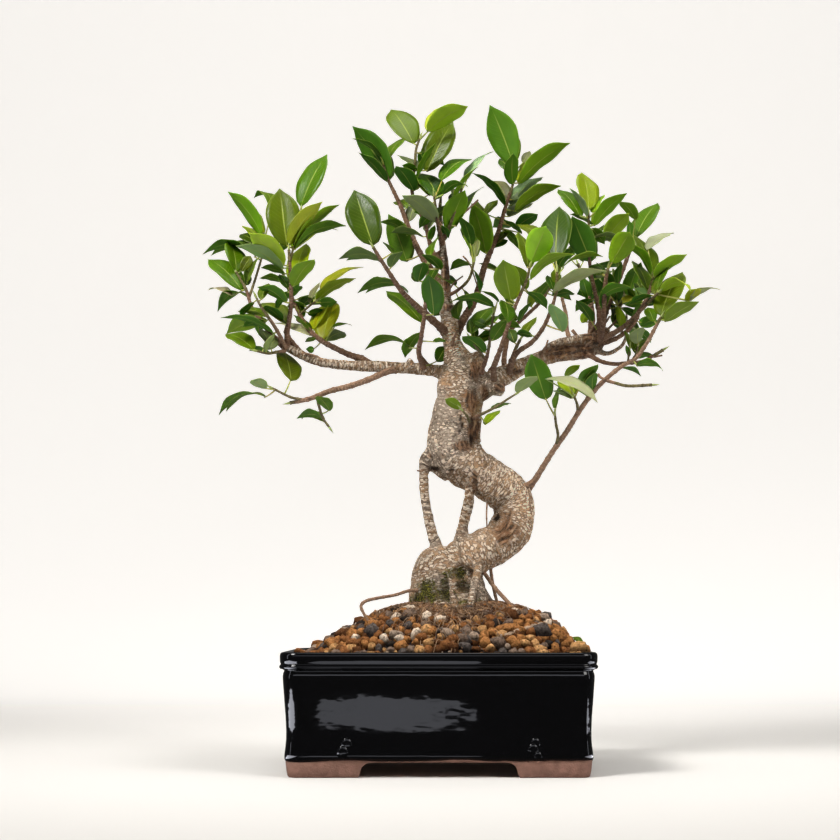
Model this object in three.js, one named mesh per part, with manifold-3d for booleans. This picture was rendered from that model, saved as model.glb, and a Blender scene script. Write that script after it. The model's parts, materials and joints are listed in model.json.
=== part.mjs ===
// A ficus bonsai with an S-shaped trunk, in a black glazed rectangular pot on four clay feet.
// Millimetres, +Z up. The front of the pot faces -Y, and X runs to the right along it.
// The group's origin is on the surface the feet stand on, under the middle of the whole tree.

import * as THREE from 'three';
import { mergeVertices } from 'three/addons/utils/BufferGeometryUtils.js';
import Module from 'manifold-3d';

const wasm = await Module();
wasm.setup();

// ---------------------------------------------------------------- driving dimensions

const FIT_GAP = 0.3; // clearance between pieces that touch

const POT = {
  width: 205, // across the front of the rim
  depth: 156,
  height: 78.5,
  corner: 13, // radius of the rim's corners in plan
  wall: 8,
  rimBottom: 69, // underside of the rim band
  grooveInset: 2.6, // how far the groove under the rim goes in
  waistInset: 5, // how far the walls are drawn in where the pot is narrowest
  waistHeight: 24,
  footInset: 3.9, // inset at the glaze line, just above the feet
  bodyBottom: 9.5, // underside of the floor
  floorTop: 15.5,
  footWall: 15, // how far a foot reaches in from the pot's outer face
};
const FOOT_GAP = { front: 100, side: 70, topInset: 7 }; // clear widths between feet at floor level
const DRAIN_HOLE = { radius: 8, offset: 46, sides: 10 };
const DRAIN_MESH = { size: 26, thickness: 1.4, strands: 3, strandWidth: 2 };

const SOIL = {
  rimLevel: 75.5, // where the soil meets the pot's wall
  moundHeight: 33,
  steepness: 2.6, // how the mound's height falls from its summit to the wall
  summitShift: 12, // how far its summit lies to the right of the pot's middle
  shiftFade: 8, // the power with which that shift fades out at the walls
  tilt: 1, // how much higher it lies at the right wall than in the middle
  rings: 6,
  pointsPerRing: 30,
  roughness: 1.1, // depth of the granular relief
  smallStone: 7.6,
  strayStones: 34, // places for stones, about 21 mm apart all over the mound
  stoneSpread: [88, 65], // how far from the pot's middle they lie, across and front to back
  bareAround: 30, // mm from the trunk's foot within which no stone lies
  seed: 7,
};

const LEAF = {
  thickness: 0.8,
  petiole: 1.3,
  shortestPetiole: 5, // a leaf whose base is nearer its stem than this tapers straight into it
  rootShare: 0.6, // a petiole's thickness inside its stem against that at the blade
  lastHold: 0.8, // no leaf is rooted further along a stretch of stem than this share of it
  widthShare: 0.5, // a leaf's width as a share of its length, unless it is seen to be wider
  largeLength: 33, // a blade longer than this has two shoulders, a shorter one has one
  shoulders: [{ at: 0.3, width: 0.88 }, { at: 0.68, width: 0.84 }],
  shoulder: { at: 0.45, width: 1 },
};

// ---------------------------------------------------------------- places in the front view
// Where a stem or leaf is, is read from its front view, in which a point is so many steps across
// and down. The eye stands in front of the trunk, a little left of the pot's middle.

const VIEW = {
  eyeX: -12,
  eyeZ: 100.2,
  distance: 1025, // from the eye to the plane of the trunk
  tilt: THREE.MathUtils.degToRad(7.65), // the view looks up by this much
  middle: 420, // the view's middle, in steps across and down
  focal: 1474, // focal length in the same steps
};
const EYE = new THREE.Vector3(VIEW.eyeX, -VIEW.distance, VIEW.eyeZ);
const UP = new THREE.Vector3(0, 0, 1);

// The point seen at (across, down) in the front view, `depth` mm behind the plane of the trunk.
function seen(across, down, depth) {
  const u = (across - VIEW.middle) / VIEW.focal;
  const v = (VIEW.middle - down) / VIEW.focal;
  const forward = Math.cos(VIEW.tilt) - v * Math.sin(VIEW.tilt);
  const rise = Math.sin(VIEW.tilt) + v * Math.cos(VIEW.tilt);
  const reach = (VIEW.distance + depth) / forward;
  return new THREE.Vector3(VIEW.eyeX + u * reach, depth, VIEW.eyeZ + rise * reach);
}

// ---------------------------------------------------------------- wood
// Each limb is a list of stations [across, down, depth mm, thickness mm].

const TRUNK_SIDES = 10;
const BRANCH_SIDES = 7;
const ROOT_SIDES = 4;
const TWIG_SIDES = 3;

const WOOD = [
  { name: 'root flare', sides: TRUNK_SIDES, stations: [
    [450, 640, 0, 61], [450, 624, 0, 64], [449.5, 610, 0, 62], [447.5, 600, 0, 56.5],
    [445, 587, 0, 50], [443.5, 573, 0, 42], [449, 562, 0, 36], [454, 553, 0, 24]] },
  { name: 'trunk', sides: TRUNK_SIDES, stations: [
    [446, 592, 0, 28], [450, 575, 0, 31], [461, 562, -1, 31], [475, 554, -2, 29],
    [490, 547.5, 0, 28], [504, 537.5, 4, 29], [511.5, 524.5, 7, 30], [514, 511, 8, 28.5],
    [510.5, 497.5, 8, 30], [500, 486.5, 6, 30], [485, 477, 3, 30.5], [469, 466.5, 0, 33],
    [456, 452, 0, 37], [453.8, 438, 0, 37.5], [456, 420, 0, 35.5], [459, 403, 0, 32.5],
    [460, 388, 0, 32], [461, 374, 0, 29], [458, 361, 0, 22], [454, 350, 0, 15.5]] },
  { name: 'leader', sides: BRANCH_SIDES, stations: [
    [456, 362, 0, 16], [453, 346, 0, 13.5], [450, 332, -1, 12.5], [449, 318, -2, 12],
    [447, 308, -3, 11.5], [446, 299, -3, 8.5], [446, 288, -4, 7.2], [445, 270, -5, 6.5],
    [443, 250, -6, 5.4], [441, 232, -7, 4.4], [440, 212, -8, 3.4], [441, 192, -9, 2.2]] },
  { name: 'stump', sides: BRANCH_SIDES, stations: [
    [471, 412, -8, 7], [477, 394, -7, 8.5], [478, 378, -6, 8.5], [478, 364, -5, 9.5], [476, 352.5, -4, 9]] },
  { name: 'left branch', sides: BRANCH_SIDES, stations: [
    [463, 384, 0, 17], [449, 376, -1, 13.5], [438, 371.5, -2, 9.5], [420, 369, -3, 8.4],
    [395, 367.5, -5, 8], [370, 366.5, -7, 8], [345, 365, -9, 7], [320, 362, -11, 6.6],
    [300, 354, -13, 6.2], [282, 345, -16, 5.6]] },
  { name: 'branch knob', sides: ROOT_SIDES, stations: [
    [412, 368, -6, 5], [410, 361, -7, 4.5], [409, 358, -7, 2.6]] },
  { name: 'right branch', sides: BRANCH_SIDES, stations: [
    [470, 398, 0, 16], [486, 386, -1, 16], [500, 377, -1, 15], [515, 370, 0, 12.5], [530, 363, 1, 11.2],
    [545, 357.5, 3, 11], [560, 354, 5, 11.2], [576, 351.5, 7, 12.5], [590, 350, 8, 11.5], [600, 343, 9, 8]] },
  { name: 'right knot', sides: BRANCH_SIDES, stations: [
    [578, 352, 7, 8], [590, 347, 8, 11], [598, 339, 8, 12], [604, 333, 8, 9], [607, 328, 8, 5]] },
  { name: 'loop branch', sides: ROOT_SIDES, stations: [
    [541, 357, 2, 5.5], [549, 347.5, -1, 5.8], [560, 342, -2, 5.6], [574, 339.5, 0, 6], [588, 338.5, 4, 7.5],
    [597, 340, 7, 7]] },
  { name: 'bark lump', sides: ROOT_SIDES, stations: [
    [484, 381, -6, 7], [495, 388, -6, 10], [503, 392, -4, 7]] },
  { name: 'root collar', sides: ROOT_SIDES, stations: [
    [427, 462, -4, 8], [437, 466, -3, 12], [449, 471, -1, 16]] },
  { name: 'aerial root left', sides: BRANCH_SIDES, stations: [
    [433, 452, -4, 11], [426, 461, -5, 10], [424, 472, -5, 7], [424, 486, -5, 6.6], [425.5, 501, -5, 6.6],
    [428.5, 518, -5, 6.8], [432, 533, -5, 7.4], [436, 546, -4, 8.2], [439, 556, -3, 9]] },
  { name: 'aerial root middle', sides: BRANCH_SIDES, stations: [
    [473, 478, -6, 10], [470, 491, -7, 7.4], [468.5, 503, -7, 7.6], [465.5, 515, -6, 7.6],
    [463, 526, -5, 7.6], [461, 536, -4, 9.4], [461, 546, -3, 11]] },
  { name: 'front root left', sides: ROOT_SIDES, stations: [
    [440, 566, -12, 6], [447, 574, -19, 5.6], [450, 588, -25, 5.4], [454, 602, -30, 5.2], [457, 618, -33, 5]] },
  { name: 'front root right', sides: ROOT_SIDES, stations: [
    [478, 560, -8, 6], [478, 572, -17, 6.2], [473, 588, -23, 6.2], [471, 602, -27, 6], [470, 618, -30, 5.6]] },
  { name: 'right buttress', sides: ROOT_SIDES, stations: [
    [474, 560, 2, 10], [477, 576, 4, 9], [480, 592, 5, 10], [488, 606, 6, 11], [499, 622, 8, 12]] },
  { name: 'back buttress', sides: ROOT_SIDES, stations: [
    [446, 575, 12, 12], [448, 592, 24, 11], [452, 606, 36, 10], [456, 622, 46, 9]] },
  { name: 'surface root left', sides: ROOT_SIDES, stations: [
    [420, 590, -14, 2.4], [408, 591, -18, 2.2], [395, 595, -22, 2.1], [378, 598, -26, 2.1], [366, 601, -28, 2.2],
    [361, 606, -29, 2.2], [364, 614, -30, 2], [370, 624, -31, 1.9], [375, 640, -32, 1.8]] },
  { name: 'surface root right', sides: ROOT_SIDES, stations: [
    [478, 566, 0, 3], [485, 574, -6, 2.8], [495, 588, -12, 2.8], [506, 600, -17, 2.7], [518, 613, -22, 2.6],
    [534, 622, -26, 2.4], [552, 636, -28, 2]] },
  { name: 'prop root', sides: ROOT_SIDES, stations: [
    [490, 558, 2, 2.6], [491, 572, -1, 2.2], [494, 590, -4, 2.2], [498, 606, -8, 2.2], [502, 624, -10, 2]] },
  { name: 'bare twig', sides: ROOT_SIDES, stations: [
    [571, 343, 3, 3.6], [567, 330, 8, 3], [566, 315, 13, 2.8], [562, 298, 17, 2.2]] },
  { name: 'bare twig right', sides: ROOT_SIDES, stations: [
    [595, 351, 8, 4.6], [608, 353.5, 16, 3.6], [619, 348, 22, 3.3], [625, 340, 26, 3], [627, 326, 30, 2.4],
    [626, 311, 33, 2]] },
];

// ---------------------------------------------------------------- leafy shoots
// stems: stations [across, down, depth mm, thickness mm]; the first one starts inside the wood.
// leaves: [tip across, tip down, base across, base down, width seen, length mm, arch]. The length
// is positive where the tip is nearer the eye than the base, and negative where it is further.
// The arch is the rise of the midrib's middle over the straight line, as a share of the length.

const SHOOTS = {
  left_top: {
    stems: [
      [[287, 347, -15, 4.4], [287, 335, -20, 3.6], [289, 322, -25, 3.2], [291, 305, -29, 2.9],
        [291, 288, -32, 2.7], [290, 268, -34, 2.4], [289, 250, -35, 2]],
      [[290, 262, -34, 1.8], [296, 236, -28, 1.5], [301, 209, -22, 1.3]],
    ],
    leaves: [
      [327, 154, 301, 207, 22, -43, 0.05], [279.5, 188.5, 287, 247, 33, -43, 0.04],
      [322, 201, 289, 246, 17, 42, 0.07], [338.5, 204, 293, 248, 10, -45, 0.07],
      [346.5, 226, 294, 250, 12, -42, 0.16], [249, 233, 284, 266, 20, 40, 0.09],
      [306, 243, 295, 283, 20, -36, 0.05], [314.5, 259, 293, 287, 17, 34, 0.08],
      [257, 287, 286, 303, 12, 30, 0.12], [262, 303, 287, 324, 18, -34, 0.08],
      [236, 245.5, 284, 269, 13, 38, 0.1],
    ],
  },
  left_branch: {
    stems: [
      [[374, 366, -7, 4.6], [363, 359.5, -3, 4.6], [350, 355, 2, 4.3], [337, 349, 7, 4],
        [322, 341, 12, 3.7], [310, 331, 17, 3.4], [301, 317, 21, 3], [295, 304, 24, 2.7],
        [288, 288, 27, 2.3], [281, 268, 29, 1.9]],
      [[305, 324, 19, 2.2], [297, 319, 24, 1.8], [306, 309, 20, 1.6], [316, 301, 14, 1.5]],
    ],
    leaves: [
      [259.5, 278, 281, 282, 8, 22, 0.12],
      [301.5, 285.5, 289, 299, 10, 22, 0.08], [356, 278, 316, 301, 11, 38, 0.08],
      [363.4, 267, 320, 290, 8, -40, 0.1], [301, 307, 314, 299, 11, -22, 0.1],
      [335.5, 301, 323, 340, 22, -36, 0.06], [331, 300, 314, 330, 11, -33, 0.06],
      [345, 332, 325, 341, 14, -28, 0.06], [275, 323, 311, 336, 8, -34, 0.06],
    ],
  },
  left_outer: {
    stems: [
      [[283, 347, -17, 3.6], [272, 335, -15, 3.2], [261, 321, -10, 2.8], [252, 308, -5, 2.6],
        [247, 292, 0, 2.3], [241, 280, 5, 2], [236, 272, 8, 1.7]],
      [[249, 298, -1, 2], [256, 277, 10, 1.8], [262, 256, 18, 1.6], [264, 240, 22, 1.4]],
    ],
    leaves: [
      [228, 191.5, 262, 236, 16, -41, 0.08], [254, 197.5, 272, 212, 7, -26, 0.3],
      [242.5, 225.5, 266, 250, 12, -34, 0.06], [202.5, 254.5, 256, 257, 9, -40, 0.22],
      [230, 241, 236, 272, 19, -32, 0.05], [208, 258.5, 242, 291, 20, -38, 0.07],
      [260, 256, 247, 284, 8, -32, 0.06], [217.5, 311, 250, 299, 9, -33, 0.26],
      [226.5, 333.5, 266, 319, 18, -36, 0.07],
    ],
  },
  left_low: {
    stems: [
      [[286, 349, -18, 3.2], [280, 336, -26, 2.6], [273, 324, -32, 2.4], [266, 314, -37, 2.1],
        [260, 305, -40, 1.8], [256, 297, -42, 1.3]],
      [[285, 351, -18, 2.8], [277, 352, -24, 2.2], [268, 353.5, -29, 1.8], [256, 351, -34, 1.4]],
    ],
    leaves: [
      [220.5, 317.5, 274, 334, 8, 40, 0.12], [238, 311, 266, 317, 9, -30, 0.08],
      [225.5, 334, 254, 350, 15, -30, 0.08], [275, 333, 266, 352, 6, 17, 0.05],
    ],
  },
  left_hanging: {
    stems: [
      [[396, 368, -6, 5], [386, 372, -10, 4.4], [370, 379, -14, 4.2], [350, 386, -18, 4],
        [330, 391, -21, 3.8], [312, 398, -24, 3.4], [300, 401, -26, 3], [290, 403, -28, 2.4]],
      [[304, 400, -25, 2.2], [290, 397, -30, 1.9], [272, 388, -35, 1.5]],
      [[317, 396, -23, 2.3], [319, 406, -19, 2], [323, 418, -16, 1.8], [329, 427, -14, 1.6]],
    ],
    leaves: [
      [218.5, 414, 266, 397, 7, -37, 0.2], [251, 380, 266, 389, 11, 22, 0.06],
      [283, 351, 291, 381, 22, -36, 0.05], [317, 396, 330, 411, 12, 24, 0.06],
      [297, 418, 325, 422, 9, -24, 0.2],
    ],
  },
  crown_left: {
    stems: [
      [[449, 333, -3, 6], [438, 325, -9, 5.4], [424, 313, -17, 4.8], [412, 302, -23, 4],
        [400, 289, -29, 3.6], [390, 274, -35, 3.1], [381, 260, -39, 2.7], [373, 247, -42, 2.2]],
    ],
    leaves: [
      [354, 190, 373, 246, 33, -43, 0.04], [339, 258.5, 386, 268, 11, -38, 0.18],
      [401, 251, 391, 268, 11, 24, 0.08], [357.5, 293, 408, 293, 11, -40, 0.2],
      [386, 291, 422, 323, 17, -40, 0.06],
    ],
  },
  crown_left_tall: {
    stems: [
      [[445, 285, -4, 5.4], [433, 272, 3, 4.8], [423, 258, 9, 4.4], [415, 243, 13, 4],
        [408, 226, 16, 3.5], [401, 207, 18, 3.1], [394, 192, 19, 2.7], [387, 177, 20, 2.3], [383, 163, 20, 1.6]],
    ],
    leaves: [
      [353, 126, 390, 180, 26, -47, 0.05], [359, 152, 387, 182, 10, 34, 0.05],
      [352.5, 138.5, 382, 158, 6, 28, 0.1], [407, 137, 387, 160, 9, -28, 0.08],
      [395, 202, 408, 208, 10, -20, 0.1], [388.5, 214, 407, 262, 24, -38, 0.05],
      [375, 224, 408, 236, 9, 30, 0.2],
    ],
  },
  crown_top: {
    stems: [
      [[443, 262, -6, 4], [434, 254, -10, 3.4], [429, 240, -13, 3], [425, 224, -15, 2.8], [417, 206, -16, 2.6],
        [412, 190, -16, 2.4], [415, 165, -16, 2.1], [416, 150, -16, 1.9], [420, 138, -16, 1.5]],
    ],
    leaves: [
      [391, 109.5, 413.5, 144, 26, -38, 0.05], [468, 106, 427, 132, 20, 40, 0.1],
      [453, 121, 427, 172, 27, -42, 0.05], [436, 142, 417, 178, 6, 32, 0.04],
      [398, 155, 419, 171, 8, -30, 0.06], [396, 165.5, 414, 191, 17, 34, 0.06],
      [410, 205, 427, 221, 9, -28, 0.06], [391.5, 232.5, 424, 237, 8, -30, 0.08],
      [436, 216, 427, 231, 8, -22, 0.06],
    ],
  },
  leader_top: {
    stems: [
      [[443, 246, -6, 3.4], [438, 225, -22, 2.6], [436, 210, -28, 2], [434, 196, -31, 1.6]],
      [[443, 240, -7, 2.8], [449, 228, -16, 2.2], [456, 208, -22, 1.8], [462, 188, -24, 1.5]],
    ],
    leaves: [
      [402, 194.5, 437, 223, 18, 40, 0.1], [465, 190, 448, 231, 21, 38, 0.05],
      [483, 186, 456, 227, 9, -40, 0.08], [422, 173, 438, 199, 21, -34, 0.05],
      [472, 159, 441, 181, 13, -36, 0.1], [468, 187, 442, 195, 9, 26, 0.22],
      [493, 151, 466, 180, 7, -34, 0.08], [478, 166, 454, 199, 5, 34, 0.05],
    ],
  },
  crown_right: {
    stems: [
      [[452, 336, -1, 6.4], [463, 320, 4, 5.6], [473, 304, 9, 5], [479, 287, 13, 4.6], [484, 268, 16, 4.2],
        [491, 250, 18, 3.8], [499, 230, 19, 3.3], [504, 212, 20, 2.8], [509, 196, 20, 2.4], [513, 184, 20, 1.9],
        [517, 166, 20, 1.3]],
    ],
    leaves: [
      [490, 105, 513, 163, 30, -45, 0.04], [513, 153, 513, 185, 15, 32, 0.06],
      [569.5, 142, 518, 184, 18, -47, 0.07], [561, 185.5, 514, 212, 15, 38, 0.1],
      [543, 176, 511, 206, 14, -37, 0.08], [532, 203, 509, 217, 12, -32, 0.08],
      [472, 172, 505, 206, 9, 37, 0.1], [489, 180, 507, 201, 15, -32, 0.1],
      [472, 203, 486, 254, 22, 40, 0.05], [478, 200, 482, 244, 18, -38, 0.05],
      [493, 227, 510, 224, 13, -27, 0.08],
    ],
  },
  inner_left: {
    stems: [
      [[424, 369, -6, 4], [419, 354, -14, 3.4], [421, 338, -22, 3.1], [424, 318, -29, 2.9],
        [426, 298, -34, 2.6], [427, 282, -37, 2.3], [428, 264, -39, 1.8]],
    ],
    leaves: [
      [424, 262, 418, 282, 15, 24, 0.06], [428, 274, 434, 316, 22, 37, 0.05],
      [422, 254, 441, 270, 10, 26, 0.08], [404.5, 357, 422, 332, 13, -32, 0.08],
      [365, 349, 411, 348, 9, -36, 0.2], [437, 238, 431, 256, 8, -24, 0.06],
    ],
  },
  centre: {
    stems: [
      [[494, 380, -10, 4.6], [494, 366, -22, 3.8], [500, 350, -33, 3.2], [506, 332, -42, 2.9],
        [513, 312, -50, 2.6], [521, 293, -55, 2.3], [527, 279, -58, 2], [530, 266, -59, 1.6]],
    ],
    leaves: [
      [546, 226, 531, 263, 26, 38, 0.06], [519, 232, 527, 268, 15, -34, 0.06],
      [503, 259.5, 511, 301, 25, 34, 0.05], [576, 254, 530, 280, 11, 40, 0.16],
      [508, 323, 504, 301, 15, 24, 0.06],
    ],
  },
  centre_right: {
    stems: [
      [[509, 375, -2, 4.8], [511, 364, -13, 4.2], [518, 352, -22, 3.6], [532, 342, -29, 3.3],
        [543, 328, -34, 3], [551, 310, -38, 2.6], [556, 292, -41, 2.2], [557, 272, -43, 1.8]],
      [[511, 361, -15, 2.4], [515, 350, -16, 2.3], [520, 340, -18, 2.2]],
    ],
    leaves: [
      [559, 206, 556, 261, 31, -42, 0.04], [606.5, 270.5, 553, 293, 13, 43, 0.1],
      [603, 256, 562, 268, 6, -30, 0.14], [550, 303, 562, 332, 15, 30, 0.05],
      [517, 224, 550, 254, 15, -36, 0.12],
    ],
  },
  centre_back: {
    stems: [
      [[507, 374, 2, 4.4], [504, 362, 13, 3.8], [506, 346, 20, 3.4], [511, 330, 25, 3],
        [528, 314, 34, 2.7], [543, 299, 38, 2.4], [551, 282, 40, 2]],
    ],
    leaves: [
      [548, 281, 531, 307, 9, -32, 0.06], [557, 277, 536, 303, 9, 30, 0.08],
      [531, 302, 519, 322, 6, 22, 0.05], [512, 264, 526, 290, 12, 28, 0.08],
      [575, 294, 552, 296, 9, 24, 0.1], [575, 246, 556, 271, 12, 30, 0.08],
    ],
  },
  centre_low: {
    stems: [
      [[480, 374, -8, 3.6], [486, 360, -18, 2.6], [489, 346, -25, 2.2], [491, 330, -31, 1.9],
        [494, 312, -36, 1.6]],
      [[486, 360, -18, 2.2], [476, 347, -26, 1.7], [470, 338, -31, 1.4]],
    ],
    leaves: [
      [507, 320, 492, 341, 14, 24, 0.06], [449, 303, 494, 307, 10, 36, 0.14], [462, 336, 485, 353, 14, 28, 0.08],
      [494, 306, 471, 334, 16, -36, 0.06], [497, 316, 481, 329, 12, -26, 0.06],
    ],
  },
  leader_twigs: {
    stems: [
      [[447, 296, -3, 3], [458, 290, -10, 2.4], [469, 279, -16, 2.1], [474, 262, -20, 1.8]],
    ],
    leaves: [
      [450, 270, 473, 266, 9, -26, 0.16], [463, 224, 474, 257, 13, -32, 0.05],
      [461, 217, 471, 245, 12, 30, 0.06],
      [459, 320, 460, 300, 12, 22, 0.06],
    ],
  },
  trunk_side: {
    stems: [
      [[472, 419, -10, 3], [482, 414, -22, 2.2], [494, 408, -28, 1.9], [508, 399, -33, 1.6], [516, 394, -36, 1.3]],
    ],
    leaves: [
      [537, 376, 517, 393, 12, 28, 0.05],
      [500, 410, 485, 425, 8, -20, 0.05],
    ],
  },
  trunk_sprout: {
    stems: [
      [[470, 424, -12, 2.2], [467, 416, -22, 1.6], [462, 410, -26, 1.2]],
    ],
    leaves: [
      [445, 399, 461, 409, 10, 15, 0.1],
    ],
  },
  slender_branch: {
    stems: [
      [[522, 488, 4, 4.6], [534, 481, -1, 4.2], [541, 470, -6, 3.9], [553, 451, -13, 3.7],
        [567, 431, -20, 3.6], [580, 410, -26, 3.5], [594, 391, -31, 3.4], [607, 378, -34, 3.2],
        [622, 366, -36, 3], [636, 358, -36, 2.8], [648, 341, -36, 2.6], [655, 328, -36, 2.4], [661, 317, -36, 2]],
      [[555, 449, -14, 2.4], [558, 436, -20, 2.1], [556, 424, -25, 1.9], [555, 415, -28, 1.6]],
      [[578, 413, -25, 2.2], [577, 404, -29, 1.9], [574, 396, -31, 1.6]],
      [[605, 380, -34, 2.4], [615, 383, -38, 2.3], [628, 386, -41, 2.2], [652, 385, -44, 2.2]],
    ],
    leaves: [
      [531, 354, 546, 400, 26, 36, 0.04], [598, 402, 545, 379, 12, 42, 0.12],
      [560, 380, 573, 395, 14, -24, 0.06],
      [598, 364, 580, 387, 12, 28, 0.06], [594, 373, 592.5, 391, 12, 22, 0.06],
      [682, 271, 661, 316, 25, -40, 0.06], [699, 301, 665, 322, 14, 36, 0.05],
      [641, 327, 657, 322, 10, -22, 0.15], [663, 371, 636, 366, 8, 24, 0.2],
    ],
  },
  right_upright: {
    stems: [
      [[600, 337, 4, 4], [599, 322, -2, 3.3], [598, 305, -8, 3], [594, 288, -13, 2.7], [590, 266, -17, 2.4],
        [589, 240, -20, 2], [588.5, 213, -22, 1.5]],
    ],
    leaves: [
      [582, 172, 588.5, 210, 21, -33, 0.05], [627, 193, 594, 226, 14, 36, 0.08],
      [572, 216, 591, 262, 26, 38, 0.05], [558, 189, 580, 217, 15, -32, 0.07],
      [604, 195, 594, 213, 9, -22, 0.08], [570, 187.5, 587, 217, 7, 28, 0.05],
    ],
  },
  right_back: {
    stems: [
      [[590, 342, 9, 4.6], [591, 322, 18, 3.8], [590, 305, 25, 3.2], [586, 285, 31, 2.8], [578, 264, 35, 2.2]],
    ],
    leaves: [
      [585, 241, 569, 259, 10, -26, 0.08], [577, 294, 598, 292, 16, -28, 0.06],
      [621, 267, 592, 268, 8, -26, 0.08], [604, 224, 583, 262, 14, -38, 0.06],
    ],
  },
  right_tall: {
    stems: [
      [[597, 338, 10, 6], [602, 322, 15, 5.2], [608, 304, 20, 4.6], [615, 288, 24, 4], [622, 272, 27, 3.2],
        [628, 256, 29, 2.7], [633, 242, 30, 2.2]],
    ],
    leaves: [
      [658, 203, 636, 238, 19, -37, 0.06], [620, 201, 636, 220, 12, 26, 0.08],
      [629, 213, 605, 241, 18, 35, 0.07], [621, 262, 618, 285, 8, 24, 0.05],
      [603, 274, 613, 292, 10, -26, 0.07],
    ],
  },
  right_front: {
    stems: [
      [[600, 341, 2, 4.6], [603, 325, -12, 3.8], [604, 304, -24, 3.3], [605, 285, -32, 2.8], [608, 268, -37, 2]],
    ],
    leaves: [
      [630, 232, 611, 264, 23, 36, 0.14], [631, 287, 602, 296, 12, 32, 0.1],
    ],
  },
  right_outer: {
    stems: [
      [[602, 339, 6, 4.4], [614, 333, -2, 3.8], [626, 325, -8, 3.4], [638, 313, -14, 3.1], [646, 300, -18, 2.7],
        [651, 286, -21, 2.3], [653.5, 277, -22, 1.7]],
      [[640, 311, -14, 2.6], [649, 302, -26, 2.2], [659, 292, -40, 1.6]],
    ],
    leaves: [
      [613, 244, 651, 275, 9, 38, 0.2], [635, 235, 653, 277, 17, -38, 0.06],
      [687, 254, 654, 277, 12, 34, 0.05], [633, 260, 648, 291, 13, -33, 0.05],
      [668, 267, 657, 290, 10, -26, 0.07], [691, 291, 660, 292, 9, 32, 0.24],
      [674, 233, 647, 250, 9, -30, 0.08], [720, 289, 690, 301, 6, 30, 0.14],
      [701, 289, 686, 302, 10, 20, 0.06],
    ],
  },
  right_middle: {
    stems: [
      [[604, 343, 10, 3.8], [617, 338, 14, 3.3], [629, 329, 17, 3], [637, 318, 19, 2.7], [641, 302, 21, 2.2],
        [642, 287, 22, 1.7]],
      [[622, 335, 15, 2.2], [621, 318, 19, 1.9], [617, 302, 23, 1.5]],
    ],
    leaves: [
      [627, 275, 642, 292, 12, -30, 0.07], [628, 287, 638, 306, 10, 26, 0.06],
      [620, 330, 618, 306, 10, 22, 0.05], [622, 303, 639, 299, 7, 22, 0.1],
      [614, 281, 617, 301, 13, 24, 0.07],
    ],
  },
  right_end: {
    stems: [
      [[588, 354, 4, 4.2], [600, 361, -4, 3.2], [614, 364, -8, 2.9], [628, 363, -10, 2.8], [642, 361.5, -11, 2.6],
        [653, 356, -11, 2.3], [663, 350, -11, 2.4]],
      [[630, 363, -10, 1.8], [636, 354, -15, 1.5], [638, 345, -18, 1.3]],
      [[628, 363, -10, 1.8], [628.5, 356, -14, 1.4], [629.5, 349, -16, 1.2]],
    ],
    leaves: [
      [639, 328, 638, 344, 14, 24, 0.06], [626.5, 332, 629.5, 348, 9, -22, 0.05],
    ],
  },
};

// The crown has leaves behind as in front. Each of these shoots repeats a front one from another
// place on the wood, on a stem that leans back by `lean` mm, with the leaves that are listed.
const BACK_SHOOTS = {
  back_left_top: { of: 'left_top', from: [303, 356, -12], lean: 84, leaves: [1, 3, 4, 6, 8] },
  back_left_branch: { of: 'left_branch', from: [352, 365.5, -8], lean: 62, leaves: [2, 5, 7] },
  back_left_outer: { of: 'left_outer', from: [294, 351, -14], lean: 52, leaves: [0, 3, 4, 5, 8] },
  back_left_hanging: { of: 'left_hanging', from: [408, 368.5, -4], lean: 66, leaves: [0, 2, 4] },
  back_crown_left: { of: 'crown_left', from: [450, 340, 0], lean: 80, leaves: [0, 1, 3, 4] },
  back_crown_tall: { of: 'crown_left_tall', from: [446, 295, -3], lean: 50, leaves: [0, 3, 5] },
  back_crown_top: { of: 'crown_top', from: [443, 252, -6], lean: 46, leaves: [0, 1, 2, 5] },
  back_crown_right: { of: 'crown_right', from: [451, 347, 0], lean: 44, leaves: [0, 2, 3, 8] },
  back_inner_left: { of: 'inner_left', from: [432, 371, -3], lean: 40, leaves: [0, 1, 3] },
  back_centre: { of: 'centre', from: [479, 389, 4], lean: 100, leaves: [0, 1, 2] },
  back_centre_right: { of: 'centre_right', from: [524, 366, 2], lean: 92, leaves: [0, 2, 3] },
  back_slender: { of: 'slender_branch', from: [522, 500, 8], lean: 70, leaves: [0, 1, 3, 5, 6] },
  back_right_upright: { of: 'right_upright', from: [579, 351, 8], lean: 92, leaves: [0, 1, 2, 3] },
  back_right_outer: { of: 'right_outer', from: [592, 349, 9], lean: 108, leaves: [1, 2, 3, 6] },
};
const LEAN_REACH = 90; // steps from a stem's root over which it takes up its lean
const BACK_LEAF_SHARE = 0.84; // a back leaf's seen size against the leaf in front of it

// ---------------------------------------------------------------- solids

// A closed three.js geometry as a solid. A loft built the other way round is turned face out.
function solidOf(geometry) {
  const bare = geometry.index ? geometry.toNonIndexed() : geometry.clone();
  bare.deleteAttribute('normal');
  bare.deleteAttribute('uv');
  const merged = mergeVertices(bare, 1e-4);
  const corners = Array.from(merged.index.array);
  const points = merged.attributes.position;
  const [a, b, c] = [new THREE.Vector3(), new THREE.Vector3(), new THREE.Vector3()];
  const kept = [];
  let sixVolumes = 0;
  for (let i = 0; i < corners.length; i += 3) {
    const [p, q, r] = corners.slice(i, i + 3);
    if (p === q || q === r || r === p) continue;
    a.fromBufferAttribute(points, p);
    b.fromBufferAttribute(points, q);
    c.fromBufferAttribute(points, r);
    sixVolumes += a.dot(b.cross(c));
    kept.push(p, q, r);
  }
  if (sixVolumes < 0) kept.reverse();
  return new wasm.Manifold(new wasm.Mesh({
    numProp: 3,
    vertProperties: new Float32Array(points.array),
    triVerts: new Uint32Array(kept),
  }));
}

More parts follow.
